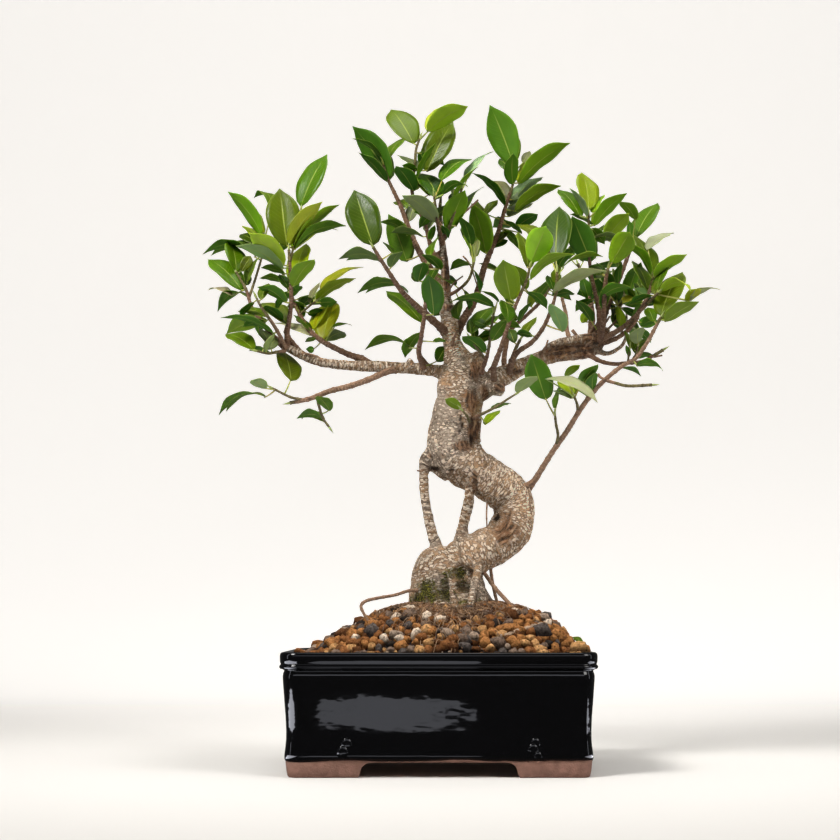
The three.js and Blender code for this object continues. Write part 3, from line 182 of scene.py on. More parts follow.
SHOOTS = {
    "left_top": ((
        ((287, 347, -15, 4.4), (287, 335, -20, 3.6), (289, 322, -25, 3.2), (291, 305, -29, 2.9),
         (291, 288, -32, 2.7), (290, 268, -34, 2.4), (289, 250, -35, 2)),
        ((290, 262, -34, 1.8), (296, 236, -28, 1.5), (301, 209, -22, 1.3))
    ), (
        (327, 154, 301, 207, 22, -43, 0.05, "M"), (279.5, 188.5, 287, 247, 33, -43, 0.04, "M"),
        (322, 201, 289, 246, 17, 42, 0.07, "L"), (338.5, 204, 293, 248, 10, -45, 0.07, "Y"),
        (346.5, 226, 294, 250, 12, -42, 0.16, "M"), (249, 233, 284, 266, 20, 40, 0.09, "L"),
        (306, 243, 295, 283, 20, -36, 0.05, "Y"), (314.5, 259, 293, 287, 17, 34, 0.08, "Y"),
        (257, 287, 286, 303, 12, 30, 0.12, "M"), (262, 303, 287, 324, 18, -34, 0.08, "M"),
        (236, 245.5, 284, 269, 13, 38, 0.1, "P")
    )),
    "left_branch": ((
        ((374, 366, -7, 4.6), (363, 359.5, -3, 4.6), (350, 355, 2, 4.3), (337, 349, 7, 4),
         (322, 341, 12, 3.7), (310, 331, 17, 3.4), (301, 317, 21, 3), (295, 304, 24, 2.7),
         (288, 288, 27, 2.3), (281, 268, 29, 1.9)),
        ((305, 324, 19, 2.2), (297, 319, 24, 1.8), (306, 309, 20, 1.6), (316, 301, 14, 1.5))
    ), (
        (259.5, 278, 281, 282, 8, 22, 0.12, "M"), (301.5, 285.5, 289, 299, 10, 22, 0.08, "M"),
        (356, 278, 316, 301, 11, 38, 0.08, "Y"), (363.4, 267, 320, 290, 8, -40, 0.1, "Y"),
        (301, 307, 314, 299, 11, -22, 0.1, "D"), (335.5, 301, 323, 340, 22, -36, 0.06, "Y"),
        (331, 300, 314, 330, 11, -33, 0.06, "Y"), (345, 332, 325, 341, 14, -28, 0.06, "B"),
        (275, 323, 311, 336, 8, -34, 0.06, "P")
    )),
    "left_outer": ((
        ((283, 347, -17, 3.6), (272, 335, -15, 3.2), (261, 321, -10, 2.8), (252, 308, -5, 2.6),
         (247, 292, 0, 2.3), (241, 280, 5, 2), (236, 272, 8, 1.7)),
        ((249, 298, -1, 2), (256, 277, 10, 1.8), (262, 256, 18, 1.6), (264, 240, 22, 1.4))
    ), (
        (228, 191.5, 262, 236, 16, -41, 0.08, "Y"), (254, 197.5, 272, 212, 7, -26, 0.3, "M"),
        (242.5, 225.5, 266, 250, 12, -34, 0.06, "Y"), (202.5, 254.5, 256, 257, 9, -40, 0.22, "M"),
        (230, 241, 236, 272, 19, -32, 0.05, "M"), (208, 258.5, 242, 291, 20, -38, 0.07, "M"),
        (260, 256, 247, 284, 8, -32, 0.06, "M"), (217.5, 311, 250, 299, 9, -33, 0.26, "M"),
        (226.5, 333.5, 266, 319, 18, -36, 0.07, "Y")
    )),
    "left_low": ((
        ((286, 349, -18, 3.2), (280, 336, -26, 2.6), (273, 324, -32, 2.4), (266, 314, -37, 2.1),
         (260, 305, -40, 1.8), (256, 297, -42, 1.3)),
        ((285, 351, -18, 2.8), (277, 352, -24, 2.2), (268, 353.5, -29, 1.8), (256, 351, -34, 1.4))
    ), (
        (220.5, 317.5, 274, 334, 8, 40, 0.12, "M"), (238, 311, 266, 317, 9, -30, 0.08, "M"),
        (225.5, 334, 254, 350, 15, -30, 0.08, "M"), (275, 333, 266, 352, 6, 17, 0.05, "P")
    )),
    "left_hanging": ((
        ((396, 368, -6, 5), (386, 372, -10, 4.4), (370, 379, -14, 4.2), (350, 386, -18, 4),
         (330, 391, -21, 3.8), (312, 398, -24, 3.4), (300, 401, -26, 3), (290, 403, -28, 2.4)),
        ((304, 400, -25, 2.2), (290, 397, -30, 1.9), (272, 388, -35, 1.5)),
        ((317, 396, -23, 2.3), (319, 406, -19, 2), (323, 418, -16, 1.8), (329, 427, -14, 1.6))
    ), (
        (218.5, 414, 266, 397, 7, -37, 0.2, "M"), (251, 380, 266, 389, 11, 22, 0.06, "P"),
        (283, 351, 291, 381, 22, -36, 0.05, "M"), (317, 396, 330, 411, 12, 24, 0.06, "M"),
        (297, 418, 325, 422, 9, -24, 0.2, "M")
    )),
    "crown_left": ((
        ((449, 333, -3, 6), (438, 325, -9, 5.4), (424, 313, -17, 4.8), (412, 302, -23, 4),
         (400, 289, -29, 3.6), (390, 274, -35, 3.1), (381, 260, -39, 2.7), (373, 247, -42, 2.2)),
    ), (
        (354, 190, 373, 246, 33, -43, 0.04, "D"), (339, 258.5, 386, 268, 11, -38, 0.18, "B"),
        (401, 251, 391, 268, 11, 24, 0.08, "B"), (357.5, 293, 408, 293, 11, -40, 0.2, "M"),
        (386, 291, 422, 323, 17, -40, 0.06, "M")
    )),
    "crown_left_tall": ((
        ((445, 285, -4, 5.4), (433, 272, 3, 4.8), (423, 258, 9, 4.4), (415, 243, 13, 4),
         (408, 226, 16, 3.5), (401, 207, 18, 3.1), (394, 192, 19, 2.7), (387, 177, 20, 2.3),
         (383, 163, 20, 1.6)),
    ), (
        (353, 126, 390, 180, 26, -47, 0.05, "D"), (359, 152, 387, 182, 10, 34, 0.05, "D"),
        (352.5, 138.5, 382, 158, 6, 28, 0.1, "M"), (407, 137, 387, 160, 9, -28, 0.08, "M"),
        (395, 202, 408, 208, 10, -20, 0.1, "M"), (388.5, 214, 407, 262, 24, -38, 0.05, "M"),
        (375, 224, 408, 236, 9, 30, 0.2, "M")
    )),
    "crown_top": ((
        ((443, 262, -6, 4), (434, 254, -10, 3.4), (429, 240, -13, 3), (425, 224, -15, 2.8),
         (417, 206, -16, 2.6), (412, 190, -16, 2.4), (415, 165, -16, 2.1), (416, 150, -16, 1.9),
         (420, 138, -16, 1.5)),
    ), (
        (391, 109.5, 413.5, 144, 26, -38, 0.05, "M"), (468, 106, 427, 132, 20, 40, 0.1, "L"),
        (453, 121, 427, 172, 27, -42, 0.05, "M"), (436, 142, 417, 178, 6, 32, 0.04, "M"),
        (398, 155, 419, 171, 8, -30, 0.06, "B"), (396, 165.5, 414, 191, 17, 34, 0.06, "D"),
        (410, 205, 427, 221, 9, -28, 0.06, "M"), (391.5, 232.5, 424, 237, 8, -30, 0.08, "B"),
        (436, 216, 427, 231, 8, -22, 0.06, "B")
    )),
    "leader_top": ((
        ((443, 246, -6, 3.4), (438, 225, -22, 2.6), (436, 210, -28, 2), (434, 196, -31, 1.6)),
        ((443, 240, -7, 2.8), (449, 228, -16, 2.2), (456, 208, -22, 1.8), (462, 188, -24, 1.5))
    ), (
        (402, 194.5, 437, 223, 18, 40, 0.1, "P"), (465, 190, 448, 231, 21, 38, 0.05, "Y"),
        (483, 186, 456, 227, 9, -40, 0.08, "M"), (422, 173, 438, 199, 21, -34, 0.05, "D"),
        (472, 159, 441, 181, 13, -36, 0.1, "M"), (468, 187, 442, 195, 9, 26, 0.22, "M"),
        (493, 151, 466, 180, 7, -34, 0.08, "P"), (478, 166, 454, 199, 5, 34, 0.05, "Y")
    )),
    "crown_right": ((
        ((452, 336, -1, 6.4), (463, 320, 4, 5.6), (473, 304, 9, 5), (479, 287, 13, 4.6),
         (484, 268, 16, 4.2), (491, 250, 18, 3.8), (499, 230, 19, 3.3), (504, 212, 20, 2.8),
         (509, 196, 20, 2.4), (513, 184, 20, 1.9), (517, 166, 20, 1.3)),
    ), (
        (490, 105, 513, 163, 30, -45, 0.04, "M"), (513, 153, 513, 185, 15, 32, 0.06, "M"),
        (569.5, 142, 518, 184, 18, -47, 0.07, "Y"), (561, 185.5, 514, 212, 15, 38, 0.1, "Y"),
        (543, 176, 511, 206, 14, -37, 0.08, "B"), (532, 203, 509, 217, 12, -32, 0.08, "B"),
        (472, 172, 505, 206, 9, 37, 0.1, "D"), (489, 180, 507, 201, 15, -32, 0.1, "B"),
        (472, 203, 486, 254, 22, 40, 0.05, "Y"), (478, 200, 482, 244, 18, -38, 0.05, "M"),
        (493, 227, 510, 224, 13, -27, 0.08, "B")
    )),
    "inner_left": ((
        ((424, 369, -6, 4), (419, 354, -14, 3.4), (421, 338, -22, 3.1), (424, 318, -29, 2.9),
         (426, 298, -34, 2.6), (427, 282, -37, 2.3), (428, 264, -39, 1.8)),
    ), (
        (424, 262, 418, 282, 15, 24, 0.06, "D"), (428, 274, 434, 316, 22, 37, 0.05, "D"),
        (422, 254, 441, 270, 10, 26, 0.08, "D"), (404.5, 357, 422, 332, 13, -32, 0.08, "M"),
        (365, 349, 411, 348, 9, -36, 0.2, "M"), (437, 238, 431, 256, 8, -24, 0.06, "M")
    )),
    "centre": ((
        ((494, 380, -10, 4.6), (494, 366, -22, 3.8), (500, 350, -33, 3.2), (506, 332, -42, 2.9),
         (513, 312, -50, 2.6), (521, 293, -55, 2.3), (527, 279, -58, 2), (530, 266, -59, 1.6)),
    ), (
        (546, 226, 531, 263, 26, 38, 0.06, "L"), (519, 232, 527, 268, 15, -34, 0.06, "M"),
        (503, 259.5, 511, 301, 25, 34, 0.05, "Y"), (576, 254, 530, 280, 11, 40, 0.16, "Y"),
        (508, 323, 504, 301, 15, 24, 0.06, "D")
    )),
    "centre_right": ((
        ((509, 375, -2, 4.8), (511, 364, -13, 4.2), (518, 352, -22, 3.6), (532, 342, -29, 3.3),
         (543, 328, -34, 3), (551, 310, -38, 2.6), (556, 292, -41, 2.2), (557, 272, -43, 1.8)),
        ((511, 361, -15, 2.4), (515, 350, -16, 2.3), (520, 340, -18, 2.2))
    ), (
        (559, 206, 556, 261, 31, -42, 0.04, "D"), (606.5, 270.5, 553, 293, 13, 43, 0.1, "P"),
        (603, 256, 562, 268, 6, -30, 0.14, "Y"), (550, 303, 562, 332, 15, 30, 0.05, "P"),
        (517, 224, 550, 254, 15, -36, 0.12, "M")
    )),
    "centre_back": ((
        ((507, 374, 2, 4.4), (504, 362, 13, 3.8), (506, 346, 20, 3.4), (511, 330, 25, 3),
         (528, 314, 34, 2.7), (543, 299, 38, 2.4), (551, 282, 40, 2)),
    ), (
        (548, 281, 531, 307, 9, -32, 0.06, "Y"), (557, 277, 536, 303, 9, 30, 0.08, "M"),
        (531, 302, 519, 322, 6, 22, 0.05, "D"), (512, 264, 526, 290, 12, 28, 0.08, "Y"),
        (575, 294, 552, 296, 9, 24, 0.1, "D"), (575, 246, 556, 271, 12, 30, 0.08, "D")
    )),
    "centre_low": ((
        ((480, 374, -8, 3.6), (486, 360, -18, 2.6), (489, 346, -25, 2.2), (491, 330, -31, 1.9),
         (494, 312, -36, 1.6)),
        ((486, 360, -18, 2.2), (476, 347, -26, 1.7), (470, 338, -31, 1.4))
    ), (
        (507, 320, 492, 341, 14, 24, 0.06, "M"), (449, 303, 494, 307, 10, 36, 0.14, "D"),
        (462, 336, 485, 353, 14, 28, 0.08, "D"), (494, 306, 471, 334, 16, -36, 0.06, "D"),
        (497, 316, 481, 329, 12, -26, 0.06, "M")
    )),
    "leader_twigs": ((
        ((447, 296, -3, 3), (458, 290, -10, 2.4), (469, 279, -16, 2.1), (474, 262, -20, 1.8)),
    ), (
        (450, 270, 473, 266, 9, -26, 0.16, "M"), (463, 224, 474, 257, 13, -32, 0.05, "M"),
        (461, 217, 471, 245, 12, 30, 0.06, "D"), (459, 320, 460, 300, 12, 22, 0.06, "D")
    )),
    "trunk_side": ((
        ((472, 419, -10, 3), (482, 414, -22, 2.2), (494, 408, -28, 1.9), (508, 399, -33, 1.6),
         (516, 394, -36, 1.3)),
    ), (
        (537, 376, 517, 393, 12, 28, 0.05, "P"), (500, 410, 485, 425, 8, -20, 0.05, "Y")
    )),
    "trunk_sprout": ((
        ((470, 424, -12, 2.2), (467, 416, -22, 1.6), (462, 410, -26, 1.2)),
    ), (
        (445, 399, 461, 409, 10, 15, 0.1, "Y"),
    )),
    "slender_branch": ((
        ((522, 488, 4, 4.6), (534, 481, -1, 4.2), (541, 470, -6, 3.9), (553, 451, -13, 3.7),
         (567, 431, -20, 3.6), (580, 410, -26, 3.5), (594, 391, -31, 3.4), (607, 378, -34, 3.2),
         (622, 366, -36, 3), (636, 358, -36, 2.8), (648, 341, -36, 2.6), (655, 328, -36, 2.4),
         (661, 317, -36, 2)),
        ((555, 449, -14, 2.4), (558, 436, -20, 2.1), (556, 424, -25, 1.9), (555, 415, -28, 1.6)),
        ((578, 413, -25, 2.2), (577, 404, -29, 1.9), (574, 396, -31, 1.6)),
        ((605, 380, -34, 2.4), (615, 383, -38, 2.3), (628, 386, -41, 2.2), (652, 385, -44, 2.2))
    ), (
        (531, 354, 546, 400, 26, 36, 0.04, "M"), (598, 402, 545, 379, 12, 42, 0.12, "P"),
        (560, 380, 573, 395, 14, -24, 0.06, "Y"), (598, 364, 580, 387, 12, 28, 0.06, "M"),
        (594, 373, 592.5, 391, 12, 22, 0.06, "D"), (682, 271, 661, 316, 25, -40, 0.06, "M"),
        (699, 301, 665, 322, 14, 36, 0.05, "Y"), (641, 327, 657, 322, 10, -22, 0.15, "M"),
        (663, 371, 636, 366, 8, 24, 0.2, "M")
    )),
    "right_upright": ((
        ((600, 337, 4, 4), (599, 322, -2, 3.3), (598, 305, -8, 3), (594, 288, -13, 2.7),
         (590, 266, -17, 2.4), (589, 240, -20, 2), (588.5, 213, -22, 1.5)),
    ), (
        (582, 172, 588.5, 210, 21, -33, 0.05, "Y"), (627, 193, 594, 226, 14, 36, 0.08, "Y"),
        (572, 216, 591, 262, 26, 38, 0.05, "D"), (558, 189, 580, 217, 15, -32, 0.07, "M"),
        (604, 195, 594, 213, 9, -22, 0.08, "Y"), (570, 187.5, 587, 217, 7, 28, 0.05, "P")
    )),
    "right_back": ((
        ((590, 342, 9, 4.6), (591, 322, 18, 3.8), (590, 305, 25, 3.2), (586, 285, 31, 2.8),
         (578, 264, 35, 2.2)),
    ), (
        (585, 241, 569, 259, 10, -26, 0.08, "D"), (577, 294, 598, 292, 16, -28, 0.06, "D"),
        (621, 267, 592, 268, 8, -26, 0.08, "D"), (604, 224, 583, 262, 14, -38, 0.06, "D")
    )),
    "right_tall": ((
        ((597, 338, 10, 6), (602, 322, 15, 5.2), (608, 304, 20, 4.6), (615, 288, 24, 4),
         (622, 272, 27, 3.2), (628, 256, 29, 2.7), (633, 242, 30, 2.2)),
    ), (
        (658, 203, 636, 238, 19, -37, 0.06, "M"), (620, 201, 636, 220, 12, 26, 0.08, "Y"),
        (629, 213, 605, 241, 18, 35, 0.07, "L"), (621, 262, 618, 285, 8, 24, 0.05, "D"),
        (603, 274, 613, 292, 10, -26, 0.07, "D")
    )),
    "right_front": ((
        ((600, 341, 2, 4.6), (603, 325, -12, 3.8), (604, 304, -24, 3.3), (605, 285, -32, 2.8),
         (608, 268, -37, 2)),
    ), (
        (630, 232, 611, 264, 23, 36, 0.14, "Y"), (631, 287, 602, 296, 12, 32, 0.1, "M")
    )),
    "right_outer": ((
        ((602, 339, 6, 4.4), (614, 333, -2, 3.8), (626, 325, -8, 3.4), (638, 313, -14, 3.1),
         (646, 300, -18, 2.7), (651, 286, -21, 2.3), (653.5, 277, -22, 1.7)),
        ((640, 311, -14, 2.6), (649, 302, -26, 2.2), (659, 292, -40, 1.6))
    ), (
        (613, 244, 651, 275, 9, 38, 0.2, "Y"), (635, 235, 653, 277, 17, -38, 0.06, "M"),
        (687, 254, 654, 277, 12, 34, 0.05, "L"), (633, 260, 648, 291, 13, -33, 0.05, "M"),
        (668, 267, 657, 290, 10, -26, 0.07, "M"), (691, 291, 660, 292, 9, 32, 0.24, "L"),
        (674, 233, 647, 250, 9, -30, 0.08, "P"), (720, 289, 690, 301, 6, 30, 0.14, "P"),
        (701, 289, 686, 302, 10, 20, 0.06, "L")
    )),
    "right_middle": ((
        ((604, 343, 10, 3.8), (617, 338, 14, 3.3), (629, 329, 17, 3), (637, 318, 19, 2.7),
         (641, 302, 21, 2.2), (642, 287, 22, 1.7)),
        ((622, 335, 15, 2.2), (621, 318, 19, 1.9), (617, 302, 23, 1.5))
    ), (
        (627, 275, 642, 292, 12, -30, 0.07, "D"), (628, 287, 638, 306, 10, 26, 0.06, "M"),
        (620, 330, 618, 306, 10, 22, 0.05, "Y"), (622, 303, 639, 299, 7, 22, 0.1, "L"),
        (614, 281, 617, 301, 13, 24, 0.07, "D")
    )),
    "right_end": ((
        ((588, 354, 4, 4.2), (600, 361, -4, 3.2), (614, 364, -8, 2.9), (628, 363, -10, 2.8),
         (642, 361.5, -11, 2.6), (653, 356, -11, 2.3), (663, 350, -11, 2.4)),
        ((630, 363, -10, 1.8), (636, 354, -15, 1.5), (638, 345, -18, 1.3)),
        ((628, 363, -10, 1.8), (628.5, 356, -14, 1.4), (629.5, 349, -16, 1.2))
    ), (
        (639, 328, 638, 344, 14, 24, 0.06, "P"), (626.5, 332, 629.5, 348, 9, -22, 0.05, "M")
    )),
}

SMALL_LEAVES = {
    "left_branch": (
        (352, 325, 333, 327, 3, 17, 0.1, "M"), (306, 349, 314, 350, 7, -9, 0.05, "D"),
        (305, 342, 316, 338, 5, 10, 0.05, "D")),
    "left_outer": ((208.5, 290, 232, 296, 5, -24, 0.12, "P"),),
    "crown_left": ((383, 242, 393, 254, 4, -14, 0.05, "D"),),
    "crown_top": (
        (402, 165, 417, 170, 7, 13, 0.06, "M"), (417, 172, 430, 196, 14, -22, 0.05, "M"),
        (435, 225, 430, 241, 7, 14, 0.05, "M")),
    "crown_right": (
        (530, 151, 523, 163, 8, -12, 0.05, "B"), (498, 200, 485, 215, 8, -16, 0.06, "M"),
        (508, 240, 490, 248, 9, -17, 0.06, "D"), (503, 219.5, 522, 234, 5, 19, 0.05, "D"),
        (538, 214, 516, 227, 13, 25, 0.06, "D"), (479, 263, 498, 272, 6, -17, 0.08, "D")),
    "inner_left": ((446, 346, 437, 362, 15, -17, 0.05, "D"), (446, 341, 433, 342, 5, 12, 0.1, "M")),
    "centre_low": ((480, 291, 499, 302, 4, 17, 0.1, "D"),),
    "leader_twigs": ((480, 292, 474, 270, 5, -22, 0.06, "D"), (461, 228, 470, 247, 8, -18, 0.05, "D")),
    "trunk_side": ((511, 403, 491, 410, 5, -18, 0.06, "D"),),
    "slender_branch": (
        (561, 383, 556, 408, 6, -24, 0.05, "M"), (641, 376, 614, 373, 4, -22, 0.2, "D"),
        (580, 365, 565, 377, 8, 16, 0.06, "Y")),
    "right_upright": ((570, 214, 595, 226, 5, -22, 0.06, "M"),),
    "right_back": ((587, 312, 582, 323, 9, 11, 0.05, "L"),),
    "right_tall": ((613, 268, 616, 285, 6, -14, 0.05, "M"),),
    "right_middle": (
        (625, 288, 623, 298, 8, -9, 0.05, "B"), (612, 300, 613, 325, 7, -20, 0.05, "D"),
        (597, 262, 612, 298, 13, 38, 0.06, "D"), (641, 262, 629, 296, 14, 38, 0.06, "M"),
        (576, 300, 592, 322, 10, 26, 0.05, "D"), (606, 284, 600, 312, 9, 30, 0.05, "D"),
        (588, 270, 600, 300, 12, 34, 0.05, "D"), (650, 300, 634, 318, 8, 24, 0.05, "M"),
        (620, 330, 612, 314, 9, -15, 0.05, "D")),
    "right_end": ((626, 345, 629, 357, 5, 10, 0.05, "M"),),
}

BACK_SHOOTS = {  # the shoot that is repeated, its root, its lean in mm and its leaves
    "back_left_top": ("left_top", (303, 356, -12), 84, (1, 3, 4, 6, 8)),
    "back_left_branch": ("left_branch", (352, 365.5, -8), 62, (2, 5, 7)),
    "back_left_outer": ("left_outer", (294, 351, -14), 52, (0, 3, 4, 5, 8)),
    "back_left_hanging": ("left_hanging", (408, 368.5, -4), 66, (0, 2, 4)),
    "back_crown_left": ("crown_left", (450, 340, 0), 80, (0, 1, 3, 4)),
    "back_crown_tall": ("crown_left_tall", (446, 295, -3), 50, (0, 3, 5)),
    "back_crown_top": ("crown_top", (443, 252, -6), 46, (0, 1, 2, 5)),
    "back_crown_right": ("crown_right", (451, 347, 0), 44, (0, 2, 3, 8)),
    "back_inner_left": ("inner_left", (432, 371, -3), 40, (0, 1, 3)),
    "back_centre": ("centre", (479, 389, 4), 100, (0, 1, 2)),
    "back_centre_right": ("centre_right", (524, 366, 2), 92, (0, 2, 3)),
    "back_slender": ("slender_branch", (522, 500, 8), 70, (0, 1, 3, 5, 6)),
    "back_right_upright": ("right_upright", (579, 351, 8), 92, (0, 1, 2, 3)),
    "back_right_outer": ("right_outer", (592, 349, 9), 108, (1, 2, 3, 6)),
}

# ---------------------------------------------------------------- meshes

KNUCKLE_SWELL, KNUCKLE_LENGTH = 0.22, 0.09  # shares of a twig's radius, and of the way between knuckles
THINNEST = 0.15  # radius, mm


class Surface:
    """Points in mm and faces with their finish, and two values for each point."""

    def __init__(self):
        self.points, self.faces, self.finishes, self.details, self.tints = [], [], [], [], []

    def add(self, points, faces, finish, details, tint):
        start = len(self.points)
        self.points += points
        self.faces += [[start + corner for corner in face] for face in faces]
        self.finishes += [finish] * len(faces)
        self.details += details
        self.tints += [tint] * len(points)

    def mesh(self, name, materials):
        made = new_mesh(name, self.points, self.faces, *materials)
        made.polygons.foreach_set("material_index", self.finishes)
        put_values(made, "detail", "FLOAT_VECTOR", self.details)
        put_values(made, "tint", "FLOAT_VECTOR", self.tints)
        made.shade_smooth()
        return made

    def piece(self, name, materials):
        return new_object(name, self.mesh(name, materials))


def new_mesh(name, points, faces, *materials):
    """A mesh in metres from points in mm."""
    made = bpy.data.meshes.new(name)
    made.from_pydata([POT_MIDDLE + point * MM for point in points], [], faces)
    for material in materials:
        made.materials.append(material)
    return made


def put_values(mesh, name, kind, values):
    """A value for each point of a mesh, for its material to read."""
    attribute = mesh.attributes.new(name, kind, "POINT")
    field = "value" if kind == "FLOAT" else "vector"
    attribute.data.foreach_set(field, np.asarray(values, dtype=np.float32).ravel())


def new_object(name, mesh):
    made = bpy.data.objects.new(name, mesh)
    bpy.context.scene.collection.objects.link(made)
    return made


def finished(piece, slot, *replaced):
    """A piece in its place on the standing body, in place of the solids that it dresses."""
    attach(piece, "root")
    if replaced:
        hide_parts(*replaced)
    return piece


def applied(piece):
    """The piece with its modifiers worked into a plain mesh."""
    graph = bpy.context.evaluated_depsgraph_get()
    mesh = bpy.data.meshes.new_from_object(piece.evaluated_get(graph))
    piece.modifiers.clear()
    old, piece.data = piece.data, mesh
    bpy.data.meshes.remove(old)
    return piece


def smooth_path(stations, step):
    """A limb's stations as (point, radius) every `step` mm or so along a smooth curve."""
    knots = [Vector((*seen(*station[:3]), station[3] / 2)) for station in stations]
    knots = [knots[0] * 2 - knots[1], *knots, knots[-1] * 2 - knots[-2]]
    path = []
    for a, b, c, d in zip(knots, knots[1:], knots[2:], knots[3:]):
        count = max(1, round((c.xyz - b.xyz).length / step))
        for k in range(count):
            t = k / count
            path.append(((b * 2) + (c - a) * t + (a * 2 - b * 5 + c * 4 - d) * t * t
                         + (b * 3 - a - c * 3 + d) * t ** 3) / 2)
    path.append(knots[-2])
    return [(knot.xyz, max(THINNEST, knot.w)) for knot in path]


def carried_frames(points):
    """A normal and a side direction at each point of a path, carried on from one to the next."""
    normal = Vector((0, 1, 0))
    frames = []
    for i in range(len(points)):
        tangent = (points[min(i + 1, len(points) - 1)] - points[max(i - 1, 0)]).normalized()
        normal = (normal - tangent * normal.dot(tangent)).normalized()
        frames.append((tangent, normal, tangent.cross(normal)))
    return frames


def measured(path):
    """Each (point, radius) of a path with its frame and the way travelled to it, in mm."""
    points = [point for point, _ in path]
    travelled = 0
    for i, ((point, radius), directions) in enumerate(zip(path, carried_frames(points))):
        travelled += (point - points[i - 1]).length if i else 0
        yield point, radius, directions, travelled


def skin_faces(rings, count):
    """The faces of a skin over rings of `count` points, open at both ends."""
    faces = []
    for start in range(0, (rings - 1) * count, count):
        for k in range(count):
            a, b = start + k, start + (k + 1) % count
            faces.append((a, b, b + count, a + count))
    return faces


def tube(surface, path, sides, finish, tint, knuckle=0, pointed=False):
    """A round stem along a path, closed at its ends. `knuckle` mm apart it has slight rings."""
    points, details = [], []
    for centre, radius, (_, normal, side), travelled in measured(path):
        if knuckle:
            phase = (travelled / knuckle) % 1
            radius *= 1 + KNUCKLE_SWELL * math.exp(-((phase - 0.5) / KNUCKLE_LENGTH) ** 2)
        for k in range(sides):
            angle = math.tau * k / sides
            points.append(centre + (normal * math.cos(angle) + side * math.sin(angle)) * radius)
            details.append((radius, travelled, k / sides))
    faces = skin_faces(len(path), sides)
    faces.append(tuple(reversed(range(sides))))
    last = len(points) - sides
    if pointed:
        (before, _), (end, radius) = path[-2:]
        points.append(end + (end - before).normalized() * radius * 5)
        details.append((0.2, travelled, 0))
        faces += [(last + k, last + (k + 1) % sides, last + sides) for k in range(sides)]
    else:
        faces.append(tuple(range(last, last + sides)))
    surface.add(points, faces, finish, details, tint)


# ---------------------------------------------------------------- material helpers


class Value:
    """What a node gives, for plain arithmetic on it: each step adds a Math node to its tree."""

    def __init__(self, socket):
        self.socket, self.tree = socket, socket.id_data

    def __add__(self, other):
        return worked("ADD", self, other)

    def __sub__(self, other):
        return worked("SUBTRACT", self, other)

    def __mul__(self, other):
        return worked("MULTIPLY", self, other)

    def ramp(self, low, high, start=0.0, end=1.0):
        """The value with low to high taken smoothly to start to end."""
        return node_value(self.tree, "ShaderNodeMapRange", {0: self, 1: low, 2: high, 3: start, 4: end},
                          interpolation_type="SMOOTHSTEP")


def add_node(tree, kind, inputs=(), **settings):
    """A new node. Each input is a plain value or what another node gives, by its name or number."""
    made = tree.nodes.new(kind)
    for name, value in settings.items():
        setattr(made, name, value)
    for key, value in dict(inputs).items():
        socket = made.inputs[key]
        if isinstance(value, Value):
            tree.links.new(value.socket, socket)
        else:
            socket.default_value = (*value, 1) if socket.type == "RGBA" and len(value) == 3 else value
    return made


def node_value(tree, kind, inputs=(), output=0, **settings):
    return Value(add_node(tree, kind, inputs, **settings).outputs[output])


def worked(operation, a, b=0.0, clamp=False):
    return node_value(a.tree, "ShaderNodeMath", {0: a, 1: b}, operation=operation, use_clamp=clamp)


def larger(a, b):
    return worked("MAXIMUM", a, b)


def within_one(a, b):
    """The sum of two values, held between 0 and 1."""
    return worked("ADD", a, b, clamp=True)


def vector_maths(operation, vector, *others, **named):
    inputs = {0: vector, **dict(enumerate(others, 1)), **named}
    return node_value(vector.tree, "ShaderNodeVectorMath", inputs, operation=operation)


def scaled(place, sizes):
    return vector_maths("MULTIPLY", place, sizes)


def shaded(colour, share):
    return vector_maths("SCALE", colour, Scale=share)


def colour_mix(share, a, b):
    """Colour a going to colour b as share goes from 0 to 1."""
    tree = next(value for value in (share, a, b) if isinstance(value, Value)).tree
    return node_value(tree, "ShaderNodeMix", {0: share, 6: a, 7: b}, output=2, data_type="RGBA")


def cloud(place, per_metre, detail, roughness=0.5, output=0):
    """Noise over a piece, as a value or as a colour."""
    return node_value(place.tree, "ShaderNodeTexNoise", {
        "Vector": place, "Scale": per_metre, "Detail": detail, "Roughness": roughness}, output)


def raised(height, distance, strength=1.0, **base):
    """The normal of a surface that the height raises by up to `distance` metres."""
    return node_value(height.tree, "ShaderNodeBump", {
        "Strength": strength, "Distance": distance, "Height": height, **base})


def object_place(tree):
    return node_value(tree, "ShaderNodeTexCoord", output="Object")


def point_value(tree, name, output="Fac"):
    return node_value(tree, "ShaderNodeAttribute", output=output, attribute_name=name)


def split(vector):
    return [Value(socket) for socket in add_node(vector.tree, "ShaderNodeSeparateXYZ", {0: vector}).outputs]


def new_material(name):
    made = bpy.data.materials.new(name)
    made.use_nodes = True
    made.node_tree.nodes.clear()
    return made, made.node_tree


def surfaced(material, inputs):
    """The material with its own shader, and plain values set on the shader's sockets."""
    shader = node_value(material.node_tree, "ShaderNodeBsdfPrincipled", inputs)
    add_node(material.node_tree, "ShaderNodeOutputMaterial", {"Surface": shader})
    return material


def new_group(name, inputs, outputs, kind="ShaderNodeTree"):
    """A node group and what its inputs give. Sockets are {name: kind}, in and out."""
    tree = bpy.data.node_groups.new(name, kind)
    for direction, sockets in (("INPUT", inputs), ("OUTPUT", outputs)):
        for label, socket in sockets.items():
            tree.interface.new_socket(label, in_out=direction, socket_type="NodeSocket" + socket)
    given = add_node(tree, "NodeGroupInput").outputs
    return tree, [Value(given[label]) for label in inputs]


